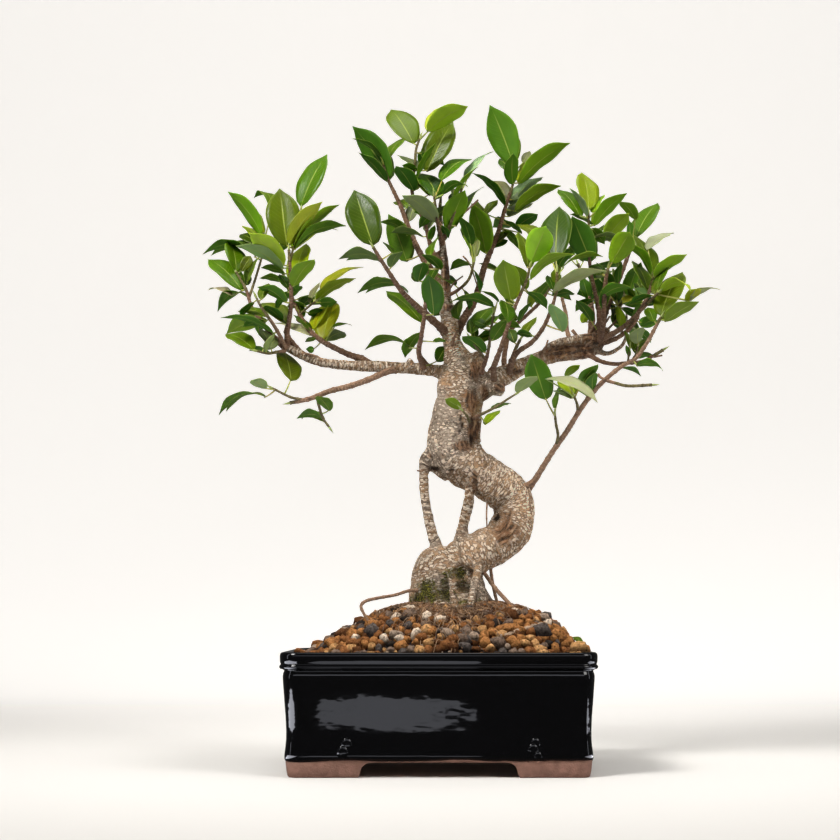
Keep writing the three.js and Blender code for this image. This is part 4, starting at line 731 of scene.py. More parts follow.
def mottle_group():
    """Cloudy change of a colour, and the cloud itself as a mask."""
    group, (place, colour, patches, depth) = new_group(
        "mottle", {"Place": "Vector", "Colour": "Color", "Patches per metre": "Float", "Depth": "Float"},
        {"Colour": "Color", "Cloud": "Float"})
    clouds = cloud(place, patches, 5.0, 0.6)
    swing = (clouds - 0.5) * (depth * 4.0) + 1.0
    add_node(group, "NodeGroupOutput", {"Colour": shaded(colour, swing), "Cloud": clouds})
    return group


def relief_group():
    """A grainy surface as a normal."""
    group, (place, grains, height) = new_group(
        "grainy relief", {"Place": "Vector", "Grains per metre": "Float", "Height": "Float"},
        {"Normal": "Vector"})
    add_node(group, "NodeGroupOutput", {"Normal": raised(cloud(place, grains, 4.0, 0.65), height)})
    return group


MOTTLE = mottle_group()
RELIEF = relief_group()


def mottled_with_cloud(place, colour, patches, depth):
    """What the mottle group gives: a clouded colour, and the cloud."""
    made = add_node(place.tree, "ShaderNodeGroup", {
        "Place": place, "Colour": colour, "Patches per metre": patches, "Depth": depth}, node_tree=MOTTLE)
    return [Value(socket) for socket in made.outputs]


def mottled(place, colour, patches, depth):
    return mottled_with_cloud(place, colour, patches, depth)[0]


def grainy(place, grains, height):
    """The normal of a grainy surface, `height` metres deep."""
    return node_value(place.tree, "ShaderNodeGroup", {
        "Place": place, "Grains per metre": grains, "Height": height}, node_tree=RELIEF)


# ---------------------------------------------------------------- materials

MIDRIB_GREEN, UNDERSIDE_GREEN = (0.40, 0.47, 0.08), (0.07, 0.26, 0.01)
LIGHT_THROUGH_GREEN = {"Subsurface Weight": 0.15, "Subsurface Radius": (0.6, 1.0, 0.25)}
TWIG_DOT, TWIG_CREASE = (0.56, 0.41, 0.28), (0.035, 0.02, 0.012)
# The bark's crevice colour is partly its own and partly painted shade.
TAN_BARK, GREY_BARK, CREVICE_COLOUR_AND_SHADE = (0.50, 0.31, 0.175), (0.40, 0.315, 0.24), (0.09, 0.052, 0.034)
# The lenticels' rim colour is painted shadow.
PALE_LENTICEL, DULL_LENTICEL, LENTICEL_SHADOW_RING = (0.92, 0.80, 0.66), (0.72, 0.56, 0.41), (0.12, 0.075, 0.05)
RAW_WOOD = ((0.05, 0.026, 0.016), (0.38, 0.18, 0.085), (0.70, 0.46, 0.28))  # from dark to light
MOSS_STAIN, DEEP_SHADE = ((0.03, 0.03, 0.008), (0.24, 0.22, 0.03)), (0.022, 0.014, 0.01)
# The fine earth colour is its own dark colour made nearly black, as painted shade between the grains.
# The pit colour is painted shade of small holes in the grains.
PIT_SHADE, EARTH_AND_GAP_SHADE = (0.03, 0.016, 0.01), (0.022, 0.011, 0.007)
BLACK_GLAZE, THIN_GLAZE, CLAY = (0.0012, 0.0012, 0.0016), (0.022, 0.011, 0.007), (0.205, 0.108, 0.08)


def leaf_material():
    """Glossy blades that are paler beneath, with a light midrib, fine side veins and a light edge."""
    made, tree = new_material("ficus leaf")
    sideways, along, side = split(point_value(tree, "detail", "Vector"))
    across = worked("ABSOLUTE", sideways)
    underside = side.ramp(0.4, -0.4)
    midrib = across.ramp(0.062, 0.015) * along.ramp(1.0, 0.5)
    slanting = worked("SINE", (across * -0.22 + along) * 88.0)
    veins = slanting.ramp(0.55, 1.0) * across.ramp(1.0, 0.5)
    body = mottled(object_place(tree), point_value(tree, "tint", "Vector"), 110.0, 0.16)
    above = colour_mix(veins * 0.04, body, MIDRIB_GREEN)
    beneath = colour_mix(0.35, body, UNDERSIDE_GREEN)
    lines = larger(midrib * 0.6, across.ramp(0.93, 1.0) * 0.35)
    return surfaced(made, {
        "Base Color": colour_mix(lines, colour_mix(underside, above, beneath), MIDRIB_GREEN),
        "Roughness": underside.ramp(0.0, 1.0, 0.3, 0.65), "Specular IOR Level": 0.13,
        "Normal": raised((veins * 0.3 + midrib) * side, -0.0004, 0.5),
        "Subsurface Scale": 0.0012, **LIGHT_THROUGH_GREEN})


def twig_material():
    """Brown twigs with pale rings, dots and dark knuckles, green where they are young and thin."""
    made, tree = new_material("twig bark")
    place = object_place(tree)
    _, travelled, turn = split(point_value(tree, "detail", "Vector"))
    wrap = node_value(tree, "ShaderNodeCombineXYZ", {0: travelled * 1.1, 1: turn})
    rings, flecks = cloud(wrap, 1.6, 2.0), cloud(place, 700.0, 4.0, 0.7)
    pale = larger(rings.ramp(0.57, 0.66), flecks.ramp(0.56, 0.68))
    dark = larger(rings.ramp(0.42, 0.34), flecks.ramp(0.46, 0.34))
    body = mottled(place, point_value(tree, "tint", "Vector"), 320.0, 0.35)
    return surfaced(made, {
        "Base Color": colour_mix(dark * 0.65, colour_mix(pale * 0.5, body, TWIG_DOT), TWIG_CREASE),
        "Roughness": 0.78, "Normal": raised(rings + flecks, 0.0009), "Specular IOR Level": 0.3})


def petiole_material():
    """Smooth yellow-green leaf stalks and buds."""
    made, tree = new_material("petiole")
    body = mottled(object_place(tree), point_value(tree, "tint", "Vector"), 180.0, 0.15)
    return surfaced(made, {
        **LIGHT_THROUGH_GREEN, "Base Color": body, "Roughness": 0.42, "Subsurface Weight": 0.1,
        "Subsurface Scale": 0.001})


def scales(place, per_metre, stretch, share, shift):
    """Oval cells that lie across a limb: those that are drawn, their surrounds, and each cell's draw."""
    moved = vector_maths("ADD", scaled(place, (1, 1, stretch)), (shift, 0, 0))
    cells = add_node(place.tree, "ShaderNodeTexVoronoi", {
        "Vector": moved, "Scale": per_metre, "Randomness": 0.85}).outputs
    draw, tone, _ = split(Value(cells["Color"]))
    drawn = (share - draw).ramp(-0.03, 0.05)
    distance = Value(cells["Distance"])
    return distance.ramp(0.5, 0.41) * drawn, distance.ramp(0.74, 0.55) * drawn, tone


def ragged(mask, clouds, low, high):
    """A smooth mark broken up by a noise, so that its edge is uneven."""
    return ((clouds - 0.5) * 1.1 + mask).ramp(low, high)


def bark_material():
    """Grey-brown ficus bark with pale lenticels in bands round each limb, moss, scars and painted shade. The
    lenticels have rings of painted shadow, the cracks are dark partly by painted shade, and some patches are
    lighter or darker as painted light and shade.
    """
    made, tree = new_material("ficus bark")
    place, along = object_place(tree), point_value(tree, "straight", "Vector")
    moss, shade, scar = split(point_value(tree, "marks", "Vector"))
    ringed, speckled, greyness, lighter = (
        point_value(tree, name) for name in ("ringed", "speckled", "greyness", "lighter"))
    warp = vector_maths("ADD", cloud(place, 420.0, 2.0, output="Color"), (-0.5, -0.5, -0.5))
    straight = vector_maths("MULTIPLY_ADD", warp, (0.001, 0.001, 0.001), along)
    fine = cloud(scaled(straight, (1, 1, 1.8)), 420.0, 7.0, 0.7)
    coarse = cloud(scaled(straight, (1, 1, 0.7)), 120.0, 4.0)
    strands = cloud(scaled(straight, (1, 1, 0.2)), 430.0, 3.0, 0.6)
    shade, scar = ragged(shade, fine, 0.25, 0.95), ragged(scar, coarse, 0.3, 0.7)

    tan, grey = mottled(place, TAN_BARK, 60.0, 0.35), mottled(place, GREY_BARK, 70.0, 0.35)
    patches = cloud(place, 45.0, 4.0) + greyness
    colour = colour_mix(patches.ramp(0.44, 0.6), tan, grey)

    rings = worked("SINE", coarse * 16.0 + split(straight)[2] * 1500.0)
    net = node_value(tree, "ShaderNodeTexVoronoi", {
        "Vector": scaled(straight, (1, 1, 0.75)), "Scale": 210.0}, feature="DISTANCE_TO_EDGE")
    cracks = net.ramp(0.11, 0.02) * coarse.ramp(0.42, 0.56)
    wrinkle = rings.ramp(-0.45, -0.9) * (ringed * 0.5 + 0.1)
    crevice = larger(larger(fine.ramp(0.49, 0.38), cracks) * within_one(scar * 0.45, 0.6), wrinkle)
    # Cracks, furrows and ring wrinkles are darkened: partly the bark's own dark colour there and partly
    # painted shade.
    colour = colour_mix(crevice * 0.85, colour, CREVICE_COLOUR_AND_SHADE)

    large, large_shadow_ring, large_draw = scales(straight, 285.0, 2.5, speckled, 0.0)
    small, small_shadow_ring, _ = scales(straight, 520.0, 1.9, speckled * 0.6, 0.3)
    # A dark ring round each lenticel is painted shadow of the raised lenticel.
    colour = colour_mix(larger(large_shadow_ring, small_shadow_ring) * 0.7, colour, LENTICEL_SHADOW_RING)
    spots = larger(large, small * 0.75) * fine.ramp(0.26, 0.36, 0.4, 1.0) * within_one(scar * -0.75, 1.0)
    pale = larger(spots, rings.ramp(0.7, 0.95) * (ringed * fine.ramp(0.4, 0.5)))
    colour = colour_mix(pale * 0.95, colour, colour_mix(large_draw, PALE_LENTICEL, DULL_LENTICEL))
    # Lightness scales the colour: the bark's own lightness, with painted light where more light falls and
    # painted shade where less does.
    colour = shaded(colour, lighter)

    raw = colour_mix(strands.ramp(0.42, 0.54), *RAW_WOOD[:2])
    raw = colour_mix(strands.ramp(0.54, 0.66), raw, RAW_WOOD[2])
    colour = colour_mix(scar * 0.75, colour, raw)
    green = colour_mix(cloud(place, 900.0, 3.0).ramp(0.48, 0.66), *MOSS_STAIN)
    mossy = ragged(moss, fine, 0.34, 0.5) * coarse.ramp(0.42, 0.56, 0.6, 0.98)
    colour = colour_mix(mossy, colour, green)
    colour = colour_mix(shade * 0.9, colour, DEEP_SHADE)

    height = spots * 0.8 + fine * 1.2 + crevice * -0.5 + rings * (ringed * 0.3) + strands * (scar * 1.4)
    return surfaced(made, {
        "Base Color": colour, "Roughness": 0.82, "Normal": raised(height, 0.0024),
        "Specular IOR Level": 0.08})


GRAIN_COLOURS = (  # share of the grains from which each colour goes, and the colour
    (0.00, (0.34, 0.15, 0.05)), (0.20, (0.21, 0.085, 0.03)), (0.38, (0.46, 0.25, 0.10)),
    (0.52, (0.12, 0.05, 0.02)), (0.66, (0.16, 0.11, 0.08)), (0.77, (0.085, 0.07, 0.062)),
    (0.85, (0.30, 0.22, 0.16)), (0.91, (0.028, 0.022, 0.018)), (0.955, (0.62, 0.5, 0.38)),
)


def grain_material():
    """Baked clay grains, grey pebbles and a little pumice: each grain draws one colour. Dark pits are painted
    shade of small holes, and each grain is lighter on top and darker beneath as painted light and shade.
    """
    made, tree = new_material("soil grain")
    place = object_place(tree)
    drawn = add_node(tree, "ShaderNodeValToRGB", {0: point_value(tree, "grain")})
    stops = drawn.color_ramp
    stops.interpolation = "CONSTANT"
    for n, (share, colour) in enumerate(GRAIN_COLOURS):
        stop = stops.elements[0] if n == 0 else stops.elements.new(share)
        stop.position, stop.color = share, (*colour, 1)
    stops.elements.remove(stops.elements[-1])
    body, clouds = mottled_with_cloud(place, Value(drawn.outputs[0]), 600.0, 0.7)
    # Dark pits: painted shade standing in for small holes in the grains, which have no relief of their own.
    cells = node_value(tree, "ShaderNodeTexVoronoi", {"Vector": place, "Scale": 480.0})
    pits = cells.ramp(0.44, 0.2) * clouds.ramp(0.5, 0.44)
    # Grains are lighter on top and darker beneath: painted light and shade.
    upward = split(node_value(tree, "ShaderNodeNewGeometry", output="Normal"))[2]
    return surfaced(made, {
        "Base Color": shaded(colour_mix(pits * 0.7, body, PIT_SHADE), upward.ramp(-0.3, 0.8, 0.4, 1.25)),
        "Roughness": 0.93, "Specular IOR Level": 0.03, "Normal": grainy(place, 700.0, 0.0024)})


def pot_material():
    """Deep black glaze down to a wavy line, and bare reddish clay on the feet below it."""
    made, tree = new_material("black glaze and clay")
    place = object_place(tree)
    height = split(place)[2]
    line = cloud(place, 38.0, 2.0) * 0.0030 + (GLAZE_LINE * MM - 0.0015)
    bare = (line - height).ramp(-0.0002, 0.0004)
    thin = (height - line).ramp(0.0018, 0.0)
    glaze = colour_mix(thin * 0.5, BLACK_GLAZE, THIN_GLAZE)
    ripple = cloud(scaled(place, (1, 1, 2.2)), 24.0, 3.0, 0.5)
    soft = raised(ripple, 0.00055, 0.5)
    return surfaced(made, {
        "Base Color": colour_mix(bare, glaze, mottled(place, CLAY, 170.0, 0.3)),
        "Roughness": bare.ramp(0.0, 1.0, 0.045, 0.85), "IOR": 1.45, "Specular IOR Level": 0.28,
        "Normal": raised(cloud(place, 900.0, 4.0), 0.0004, bare, Normal=soft)})


def plain_material(name, colour, patches, depth, roughness, height, grains=900.0):
    """A plain finish with a slight cloud and grain, for earth, moss and the drain mesh."""
    made, tree = new_material(name)
    place = object_place(tree)
    return surfaced(made, {
        "Base Color": mottled(place, colour, patches, depth), "Roughness": roughness,
        "Normal": grainy(place, grains, height)})


# ---------------------------------------------------------------- leaves and shoots

# A leaf's tone is partly its own colour and partly painted light: D is painted shade on leaves in shade, B is
# a painted bluish sheen, and L also paints light on leaves that face the lights.
TONES = {  # upper side of a leaf
    "L": (0.48, 0.56, 0.03), "Y": (0.215, 0.30, 0.004), "M": (0.075, 0.132, 0.002),
    "D": (0.036, 0.08, 0.002), "B": (0.14, 0.17, 0.065), "P": (0.36, 0.40, 0.20),
}
# Inner leaves take mostly the dark tones, as painted shade deep in the crown.
INNER_TONES = "DDDMMB"
FLAT_FOLD, DEEP_FOLD = (7, 20), (12, 24)  # degrees, of the darker leaves and of the lighter ones
LEAF_WIDTH_SHARE = 0.5  # a leaf's width against its length, unless it is seen to be wider
LEAF_THICKNESS, PETIOLE_THICKNESS = 0.45, 1.15
LEAF_STEPS, LEAF_ROWS = 13, 7  # along and across the blade
LEAF_DROOP, LEAF_TWIST, EDGE_WAVES, TONE_SPREAD = (0.0, 0.06), (-0.22, 0.22), (1.5, 3), (0.82, 1.2)
DROOPS_FROM, WAVE_HEIGHT, HEM = 0.55, 0.013, 0.12  # shares of a leaf's length, and half a tip's width in mm
PETIOLE_LEAN = 0.35  # how far a petiole comes forward or goes back, against its length
LAST_STALK, LEAST_SEEN = 0.8, 0.1  # shares of the way between two stations, and of a blade's width
BLADE, BARK, SOFT = 0, 1, 2  # the finishes of a shoot
YOUNG_TWIG, OLD_TWIG, SHADED_TWIG = (0.14, 0.115, 0.035), (0.27, 0.155, 0.09), (0.175, 0.088, 0.045)
GREEN_RADIUS = 1.15  # a stem is green where it is thinner
STEM_STEP, TWIG_STEP, LIMB_STEP = 1.4, 1.3, 1.5  # mm along a path
OLD_KNUCKLES, YOUNG_KNUCKLES, TWIG_KNUCKLES, STUB_KNUCKLES = 6.5, 5.5, 5, 4.5  # mm apart
BUD_STATIONS = ((-1.5, 0.5), (0, 0.85), (1.6, 0.8), (4.2, 0.3))  # mm past a stem's tip, and radius
# Only these shoots have OLD_TWIG stems. The others take SHADED_TWIG, which is darker as painted shade inside
# the crown.
OUTER_SHOOTS = ("slender_branch", "left_hanging", "left_low", "right_outer")
STALK, BUD = (0.33, 0.35, 0.05), (0.30, 0.36, 0.09)
LEAN_REACH = 90  # pixels from a stem's root over which it takes up its lean
BACK_LEAF_SHARE = 0.84
INNER_LEAVES = 4  # tried on each stem
INNER_PETIOLE, INNER_LENGTH, INNER_WIDTH = 5, (15, 27), (6, 12)  # pixels
CROWDED, CROWD_REACH = 3, 26  # an inner leaf has at least so many large ones within so many pixels


def nearest_on_stems(stems, across, down):
    """The place on a shoot's stems that is nearest to a leaf's base in the front view."""
    best = None
    for stem in stems:
        for (ax, ay, az, _), (bx, by, bz, _) in zip(stem, stem[1:]):
            dx, dy = bx - ax, by - ay
            share = ((across - ax) * dx + (down - ay) * dy) / (dx * dx + dy * dy)
            share = min(max(share, 0), LAST_STALK)
            place = (ax + share * dx, ay + share * dy, az + share * (bz - az))
            distance = math.hypot(place[0] - across, place[1] - down)
            if best is None or distance < best[0]:
                best = (distance, place)
    return best[1]


def leaf_frame(row, stems):
    """Root, base, tip, side, upper direction, length and width of a leaf, as in the solids."""
    tip_across, tip_down, base_across, base_down, width_seen, signed_length = row[:6]
    root_place = nearest_on_stems(stems, base_across, base_down)
    root = seen(*root_place)
    towards = math.copysign(1, signed_length)
    petiole = (root - seen(base_across, base_down, root_place[2])).length
    base_depth = root_place[2] - PETIOLE_LEAN * towards * petiole
    base = seen(base_across, base_down, base_depth)
    seen_length = (seen(tip_across, tip_down, base_depth) - base).length
    hidden_length = math.sqrt(max(0, signed_length ** 2 - seen_length ** 2))
    tip = seen(tip_across, tip_down, base_depth - towards * hidden_length)
    axis = tip - base
    length = axis.length
    axis.normalize()
    middle = (base + tip) / 2
    step = (middle - EYE).length / VIEW_FOCAL
    width = max(LEAF_WIDTH_SHARE * length, width_seen * step)
    sight = (EYE - middle).normalized()
    flat_side = axis.cross(sight).normalized()
    facing = flat_side.cross(axis).normalized()
    roll = math.acos(min(1, max(LEAST_SEEN, width_seen * step / width)))
    turned = [facing * math.cos(roll) + flat_side * (sign * math.sin(roll)) for sign in (-1, 1)]
    up = turned[0] if abs(turned[0].z) >= abs(turned[1].z) else turned[1]
    if up.z < 0:
        up = -up
    return root, base, tip, axis.cross(up).normalized(), up, length, width, petiole


def blade_outline(t):
    """A blade's half width at t of its length, against its widest."""
    return max(0.0, 4 * t * (1 - t)) ** (0.58 + 0.35 * t + 0.4 * t ** 4)


def blade_faces():
    """The faces of a blade: upper and lower side by turns, then the rim."""
    per_layer = (LEAF_STEPS + 1) * LEAF_ROWS
    faces = []
    for start in range(0, LEAF_STEPS * LEAF_ROWS, LEAF_ROWS):
        for a in range(start, start + LEAF_ROWS - 1):
            quad = (a, a + LEAF_ROWS, a + LEAF_ROWS + 1, a + 1)
            faces += [tuple(reversed(quad)), tuple(corner + per_layer for corner in quad)]
    rim = [*range(LEAF_ROWS), *range(2 * LEAF_ROWS - 1, per_layer, LEAF_ROWS)]
    rim += range(per_layer - 2, per_layer - LEAF_ROWS - 1, -1)
    rim += range(per_layer - 2 * LEAF_ROWS, 0, -LEAF_ROWS)
    faces += [(a, a + per_layer, b + per_layer, b) for a, b in zip(rim, rim[1:] + rim[:1])]
    return faces


BLADE_FACES = blade_faces()


def on_curve(start, bend, end, t):
    """The point at t of a curve that the bend draws to itself."""
    return start * (1 - t) ** 2 + bend * (2 * t * (1 - t)) + end * t * t


def add_leaf(surface, row, stems, luck):
    """A blade with its fold, arch and slightly waved edge, on its petiole."""
    arch, tone = row[6:8]
    root, base, tip, side, up, length, width, petiole = leaf_frame(row, stems)
    crest = (base + tip) / 2 + up * (2 * arch * length)
    open_share = min(1, row[4] * VIEW_DISTANCE / VIEW_FOCAL / width)
    fold = math.radians(luck.uniform(*(FLAT_FOLD if tone in "DMB" else DEEP_FOLD))) * (0.3 + 0.7 * open_share)
    droop, twist = luck.uniform(*LEAF_DROOP), luck.uniform(*LEAF_TWIST) * open_share
    phase, waves = luck.uniform(0, math.tau), luck.uniform(*EDGE_WAVES)
    tint = [value * luck.uniform(*TONE_SPREAD) for value in TONES[tone]]
    half_width = width / 2 * (1 / math.cos(fold)) ** 0.5 * (1 - 2.5 * min(arch, 0.12) * (1 - open_share))

    points, details = [], []
    for layer in (1, -1):
        for i in range(LEAF_STEPS + 1):
            t = i / LEAF_STEPS
            sag = droop * length * max(0, t - DROOPS_FROM) ** 2 * 2
            centre = on_curve(base, crest, tip, t) - up * sag
            turn = twist * (t - 0.4)
            out = side * math.cos(turn) + up * math.sin(turn)
            above = up * math.cos(turn) - side * math.sin(turn)
            half = max(half_width * blade_outline(t), HEM)
            for k in range(LEAF_ROWS):
                x = 2 * k / (LEAF_ROWS - 1) - 1
                rise = abs(x) * half * math.tan(fold) * (1 - 0.35 * abs(x))
                wave = WAVE_HEIGHT * length * math.sin(phase + waves * math.tau * t + x) * x * x
                thickness = LEAF_THICKNESS * (1 - 0.5 * abs(x))
                rise += wave * math.sin(math.pi * t) + layer * thickness / 2
                points.append(centre + out * (x * half) + above * rise)
                details.append((x, t, layer))
    surface.add(points, BLADE_FACES, BLADE, details, tint)

    reach = base + (tip - base).normalized() * 1.5
    bend = (root + base) / 2 + up * min(1.5, 0.12 * petiole) * luck.uniform(-1, 1)
    path = [(on_curve(root, bend, reach, t), PETIOLE_THICKNESS / 2 * (1.1 - 0.35 * t))
            for t in np.linspace(0, 1, 6).tolist()]
    tube(surface, path, 6, SOFT, [value * luck.uniform(0.85, 1.15) for value in STALK])


def add_stem(surface, stations, bark):
    """One stem with its knuckles, from its bark to a green tip with its bud."""
    path = smooth_path(stations, STEM_STEP)
    cut = next((i for i, (_, radius) in enumerate(path) if radius < GREEN_RADIUS), len(path) - 1)
    cut = min(max(cut, 2), len(path) - 3)
    tube(surface, path[:cut + 1], 8, BARK, bark, knuckle=OLD_KNUCKLES)
    tube(surface, path[cut:], 7, BARK, YOUNG_TWIG, knuckle=YOUNG_KNUCKLES)
    tip, before = path[-1][0], path[-3][0]
    onwards = (tip - before).normalized()
    bud = [(tip + onwards * way, radius) for way, radius in BUD_STATIONS]
    tube(surface, bud, 7, SOFT, BUD, pointed=True)


def leaning_back(of, root, lean, chosen):
    """The stems and leaf rows of a shoot that repeats another one further back."""
    stems, leaves = SHOOTS[of]
    root_across, root_down = stems[0][0][:2]

    def pushed(across, down, depth, thickness):
        share = min(1, math.hypot(across - root_across, down - root_down) / LEAN_REACH)
        return across, down, depth + lean * share * (2 - share), thickness

    def shrunk(tip_across, tip_down, base_across, base_down, width, length, arch, tone):
        return (base_across + (tip_across - base_across) * BACK_LEAF_SHARE,
                base_down + (tip_down - base_down) * BACK_LEAF_SHARE,
                base_across, base_down, width * BACK_LEAF_SHARE, -abs(length), arch, tone)

    back_stems = [[pushed(*station) for station in stem] for stem in stems]
    back_stems[0][0] = (*root, stems[0][0][3])
    return back_stems, [shrunk(*leaves[number]) for number in chosen]


def inner_leaves(stems, crown, luck):
    """Small leaves deeper in a shoot, between the ones that are seen whole."""
    rows = []
    for stem in stems:
        for _ in range(INNER_LEAVES):
            number = luck.uniform(0.4, 0.98) * (len(stem) - 1)
            i = min(int(number), len(stem) - 2)
            across, down = (stem[i][k] + (number - i) * (stem[i + 1][k] - stem[i][k]) for k in (0, 1))
            angle, length = luck.uniform(0, math.tau), luck.uniform(*INNER_LENGTH)
            base, tip = ((across + reach * math.cos(angle), down - reach * math.sin(angle))
                         for reach in (INNER_PETIOLE, INNER_PETIOLE + length))
            if sum(math.dist(tip, leaf) < CROWD_REACH for leaf in crown) >= CROWDED:
                rows.append((*tip, *base, luck.uniform(*INNER_WIDTH), -0.7 * length * luck.uniform(1.05, 1.5),
                             luck.uniform(0.03, 0.1), luck.choice(INNER_TONES)))
    return rows


def make_shoot(name, stems, leaves, materials):
    luck = random.Random(name)
    surface = Surface()
    for stem in stems:
        add_stem(surface, stem, OLD_TWIG if name in OUTER_SHOOTS else SHADED_TWIG)
    for row in leaves:
        add_leaf(surface, row, stems, luck)
    finished(surface.piece("leafy_" + name, materials), "foliage", "shoot_" + name)


def make_shoots():
    materials = [leaf_material(), twig_material(), petiole_material()]
    crown = [((row[0] + row[2]) / 2, (row[1] + row[3]) / 2)
             for _, leaves in SHOOTS.values() for row in leaves]
    luck = random.Random(12)
    for name, (stems, leaves) in SHOOTS.items():
        rows = (*leaves, *SMALL_LEAVES.get(name, ()), *inner_leaves(stems, crown, luck))
        make_shoot(name, stems, rows, materials)
    for name, back in BACK_SHOOTS.items():
        make_shoot(name, *leaning_back(*back), materials)


# ---------------------------------------------------------------- the woody framework

WOOD_VOXEL, SOFTENING = 1.1, (0.5, 5)  # mm, and the smoothing's share and rounds
THICK_LIMB = 4.4  # limbs at least this thick somewhere grow into one another
RINGED = {"aerial root left": 1, "aerial root middle": 1, "left branch": 0.7, "right branch": 0.55,
          "leader": 0.55, "loop branch": 0.6, "stump": 0.1, "root flare": 0.1}
USUALLY_RINGED = 0.25
MOSS_FADE, LOW_MOSS = 16, 0.35  # mm over which moss thins out, and its share low on the foot
UNMARKED, FAINTLY = ("front root left", "front root right"), 0.2  # limbs that take marks faintly
LIMB_APART = 400  # mm added to the way along each further limb, so that no two have the same bark
ROOT_FIBRE, FIBRE_BELOW = (0.42, 0.29, 0.19), 1.25  # the colour of roots and of twigs thinner than this
MOSS_TOP = 128  # moss thins out towards this height
# Places on the front of the trunk: across, down, reach across, reach down, depth mm, moss, shade, scar.
TRUNK_MARKS = (
    (457, 413, 1.6, 3, -0.8, 0, 0.8, 0.2), (461, 418, 1.6, 4, -1.4, 0, 1, 0.3),
    (463, 425, 1.8, 4, -1.6, 0, 1, 0.3), (460, 431, 2, 3, -1.2, 0, 0.95, 0.4),
    (455, 435, 3, 2, -0.8, 0, 0.8, 0.4), (473, 439, 2.6, 7, -2, 0, 1, 0.5),
    (475, 480, 3.4, 15, -0.8, 0, 0.3, 1), (505, 532, 11, 17, -2.6, 0, 0.4, 0.95),
    (494, 516, 4, 5, -2.2, 0, 1, 0.6), (504, 537, 3, 2.6, -1.6, 0, 0.8, 0.6),
    (519, 535, 6, 12, -0.8, 0, 0.1, 0.7), (434, 469, 7, 3.5, -1, 0, 0.9, 0.7),
    (444, 583, 6, 11, -3.5, 0.6, 0.7, 0), (464, 583, 9, 12, -4.5, 0.6, 0.85, 0),
    (455, 572, 16, 6, -0.4, 0.7, 0.3, 0), (446, 594, 14, 9, 0, 0.8, 0.6, 0),
    (428, 591, 18, 13, 0, 0.7, 0.1, 0), (470, 604, 20, 8, 0, 0.6, 0.3, 0),
    (500, 388, 10, 6, 0.6, 0, 0.15, 0.85), (447, 308, 5.5, 5, 0.9, 0, 0.35, 0.8),
    (597, 338, 13, 12, 1, 0, 0.3, 0.95), (477, 352, 6, 3, 0, 0, 0, 0.35),
    (470, 503, 4.5, 10, 0, 0, 0.5, 0.5), (447, 546, 6, 4, -0.5, 0, 0.5, 0.4),
    (452, 470, 3, 2, -1.2, 0, 0.8, 0.4), (475, 372, 7, 16, 0, 0, 0.1, 0.75),
    (471, 400, 9, 15, 0, 0, 0.15, 0.9), (474, 428, 7, 14, 0, 0, 0.1, 1),
    (464, 446, 12, 7, -0.4, 0, 0.2, 0.85), (484, 392, 5, 9, 0, 0, 0.35, 0.85),
    (560, 352, 34, 11, 0, 0, 0.3, 0.7), (580, 352, 16, 9, 0, 0, 0.35, 0.8),
    (520, 372, 18, 8, 0, 0, 0.15, 0.6), (446, 280, 5, 18, 0, 0, 0.2, 0.7),
    (447, 262, 4, 40, 0, 0, 0.2, 0.6), (414, 602, 10, 8, 0, 0.9, 0.3, 0), (428, 600, 10, 6, 0, 0.7, 0.4, 0),
    (494, 604, 8, 8, 0, 0.6, 0.4, 0.2), (478, 494, 9, 4, 0, 0, 0.5, 0.5), (470, 486, 6, 4, 0, 0, 0.5, 0.6),
    (440, 480, 10, 4, 0, 0, 0.35, 0.3), (449, 457, 14, 5, 0, 0, 0, 0.45),
    (466, 366, 5, 10, -0.6, 0, 0.4, 0.5), (455, 374, 7, 4, -0.6, 0, 0.5, 0.4),
    (484, 505, 9, 5, -0.4, 0, 0.35, 0.4), (500, 560, 24, 5, 0, 0, 0.25, 0.3),
    (430, 455, 4, 5, -0.3, 0, 0.25, 0.5), (512, 512, 7, 5, -0.5, 0, 0.3, 0.5),
)
USUAL_BARK = (0.55, 0, 1.12)  # share of small cells that are pale, greyness, and lightness
# Places on the bark that differ: across, down, reach across, reach down, and the three changes. The change in
# lightness is painted light and shade: lighter where more light falls, as on the right of the bend, and
# darker where shade falls.
BARK_MARKS = (
    (437, 405, 11, 24, -0.4, 0.2, 0.1), (455, 408, 9, 12, -0.3, 0.1, 0.1),
    (440, 446, 16, 14, 0.15, 0.1, 0.2), (445, 466, 18, 8, 0.25, 0, -0.1),
    (500, 478, 32, 20, 0.35, -0.12, 0.2), (480, 556, 44, 14, 0.25, -0.25, 0.15),
    (428, 582, 20, 22, 0.15, 0, -0.15), (505, 530, 12, 18, -0.3, -0.25, -0.2),
    (470, 537, 30, 7, -0.2, 0.05, 0.1), (526, 505, 13, 36, 0.2, -0.25, 0.45),
    (458, 342, 14, 18, 0.1, -0.1, 0.75), (448, 300, 8, 34, 0.2, 0, -0.3),
    (380, 366, 60, 8, 0.15, -0.12, 0.1), (560, 352, 40, 12, -0.3, 0, -0.2),
    (466, 510, 8, 22, -0.1, -0.05, -0.2), (459, 380, 14, 10, 0.1, 0.05, 0.15),
)
ROOT_OVER_SOIL = ((500, 636), (510, 634), (519, 630), (528, 628), (537, 625), (546, 624), (554, 628))
